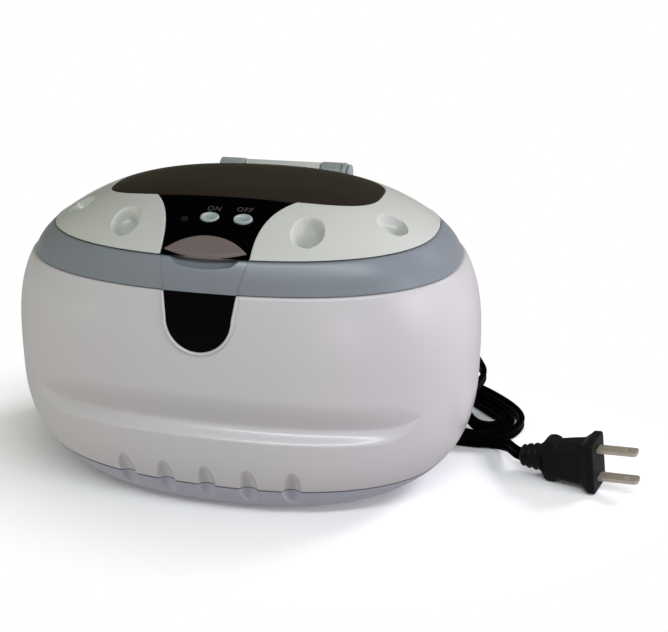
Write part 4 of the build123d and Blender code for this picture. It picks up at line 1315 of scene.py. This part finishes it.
# Nodes that are round all over are shaded smooth, and the rest keep their CAD faces
smoothNode("tank", "tank_bowl", finishes["tankSteel"], 30.0)
smoothNode("rubber_feet", "feet", finishes["footRubber"])
smoothNode("lid_inner_frame", "window_clamp", finishes["frameWhite"])
nodeFinishes = {
    "indicator": ("status_led",),
    "sealRubber": ("tank_gasket",),
    "bladeMetal": ("plug_blades",),
    "pinSteel": ("hinge_pin",),
    "switchBlack": ("tact_switches", "terminal_block", "power_transistors", "on_plunger", "off_plunger"),
    "boardGreen": ("driver_board", "switch_board"),
    "screwSteel": ("base_screws", "board_screws", "lid_screws", "transducer_bolt"),
    "hornAluminium": ("transducer_horn", "heat_sink"),
    "ceramic": ("piezo_rings",),
    "brass": ("electrode_plates",),
    "massSteel": ("transducer_back_mass",),
    "ferrite": ("drive_transformer",),
    "sleeveBlue": ("filter_capacitor",),
    "wireRed": ("transducer_leads", "mains_leads", "panel_leads"),
}
for finish, nodes in nodeFinishes.items():
    for node in nodes:
        for place in frame["nodes"][node].material_slots:
            place.material = finishes[finish]
print("legends and inner parts done")


# Floor and light. The floor is a matt sheet near the object that turns into an evenly lit white sweep:
# mask = smoothstep((distance outside the casing's footprint or the plug's oval) between near and far).
# The camera sees the sheet with its shadows, while the object above gets the even bounce of a lit table.
sweep = {"reach": 2.5, "casing": ((0.0, 0.0), (108.0, 74.0)), "cord": ((118.0, 18.0), (54.0, 46.0)),
         "near": 0.9, "far": 1.75, "glow": 1.0, "bounce": 0.4, "white": (0.94, 0.94, 0.94, 1)}


# Distance from an oval's middle, where the oval itself is at 1
def ovalDistance(tree, place, middle, half):
    kind = "ShaderNodeVectorMath"
    moved = calculate(tree, "SUBTRACT", place, (middle[0] * mm, middle[1] * mm, 0), kind=kind)
    scaled = calculate(tree, "DIVIDE", moved.outputs[0], (half[0] * mm, half[1] * mm, 1), kind=kind)
    return calculate(tree, "LENGTH", scaled.outputs[0], kind=kind).outputs["Value"]


def makeStage():
    floor = bpy.data.meshes.new("floor")
    reach = sweep["reach"]
    floor.from_pydata([(-reach, -reach, 0), (reach, -reach, 0), (reach, reach, 0), (-reach, reach, 0)], [],
                      [(0, 1, 2, 3)])
    stage = addObject("floor", floor)
    material = bpy.data.materials.new("floor")
    material.use_nodes = True
    tree = material.node_tree
    sheet = tree.nodes["Principled BSDF"]
    for label, value in (("Base Color", sweep["white"]), ("Roughness", 0.7), ("Specular IOR Level", 0.1)):
        sheet.inputs[label].default_value = value
    place = addNode(tree, "ShaderNodeTexCoord").outputs["Object"]
    distances = [ovalDistance(tree, place, *sweep[name]) for name in ("casing", "cord")]
    mask = addNode(tree, "ShaderNodeMapRange", [("Value", calculate(tree, "MINIMUM", *distances).outputs[0])],
                   interpolation_type="SMOOTHSTEP", From_Min=sweep["near"], From_Max=sweep["far"])
    glow, bounce = (addNode(tree, "ShaderNodeEmission", Strength=sweep[name]) for name in ("glow", "bounce"))
    blend = addNode(tree, "ShaderNodeMixShader", [(0, mask.outputs[0]), (1, sheet.outputs[0]),
                                                  (2, glow.outputs[0])])
    path = addNode(tree, "ShaderNodeLightPath")
    seen = addNode(tree, "ShaderNodeMixShader", [(0, path.outputs["Is Camera Ray"]), (1, bounce.outputs[0]),
                                                 (2, blend.outputs[0])])
    tree.links.new(seen.outputs[0], tree.nodes["Material Output"].inputs["Surface"])
    floor.materials.append(material)


# Each lamp: place and size in metres, power in watts, colour, and whether glossy surfaces mirror it
lights = {
    "side": ((1.4, 0.15, 0.5), (0.8, 0.8), 1.6, (0.9, 0.95, 1.0), False),
    "above": ((0.0, -0.1, 1.5), (1.4, 1.4), 1.2, (1.0, 1.0, 0.9), True),
    "rightFront": ((1.2, -0.25, 0.35), (0.5, 0.5), 9.6, (1.0, 0.93, 1.0), False),
    "front": ((0.1, -1.4, 0.6), (1.0, 1.0), 0.9, (0.97, 1.0, 1.0), False),
    "left": ((-1.0, -0.6, 0.6), (1.1, 1.1), 2.4, (1.0, 0.92, 0.82), False),
    "lowFront": ((0.6, -1.0, 0.1), (0.3, 0.3), 3.2, (0.95, 0.88, 1.0), False),
    "lowLeft": ((-0.75, -0.6, 0.04), (0.3, 0.06), 2.6, (1.0, 0.98, 0.84), False),
    "sideBack": ((1.0, 0.9, 0.8), (0.5, 0.5), 18.0, (0.94, 0.92, 1.0), False),
    "strip": ((0.3, -0.7, 1.2), (1.5, 0.15), 10.4, (0.86, 0.94, 1.0), True),
}
lampTarget = (0, 0, 0.06)
surround = {"seen": 1.0, "light": 0.12, "colour": (1.0, 0.97, 0.6, 1)}


# The surround looks white to the camera and lights the object more dimly
def makeSurround():
    world = bpy.data.worlds.new("studio")
    world.use_nodes = True
    tree = world.node_tree
    path = addNode(tree, "ShaderNodeLightPath")
    level = addNode(tree, "ShaderNodeMapRange", [("Value", path.outputs["Is Camera Ray"])],
                    To_Min=surround["light"], To_Max=surround["seen"])
    tint = addNode(tree, "ShaderNodeMix", [("Factor", path.outputs["Is Camera Ray"])], data_type="RGBA")
    tint.inputs["A"].default_value = surround["colour"]
    tint.inputs["B"].default_value = (1, 1, 1, 1)
    tree.links.new(tint.outputs["Result"], tree.nodes["Background"].inputs["Color"])
    tree.links.new(level.outputs[0], tree.nodes["Background"].inputs["Strength"])
    bpy.context.scene.world = world
    bpy.context.scene.view_settings.view_transform = "Standard"


def makeLights():
    for name, (where, size, power, colour, gloss) in lights.items():
        lamp = bpy.data.lights.new(name, "AREA")
        lamp.shape = "RECTANGLE"
        lamp.size, lamp.size_y = size
        lamp.energy = power
        lamp.color = colour
        holder = addObject(name, lamp)
        holder.visible_glossy = gloss
        place = Vector(where)
        aim = Vector(lampTarget) - place
        holder.matrix_world = Matrix.Translation(place) @ aim.to_track_quat("-Z", "Y").to_matrix().to_4x4()


makeStage()
makeSurround()
makeLights()
print("stage done")
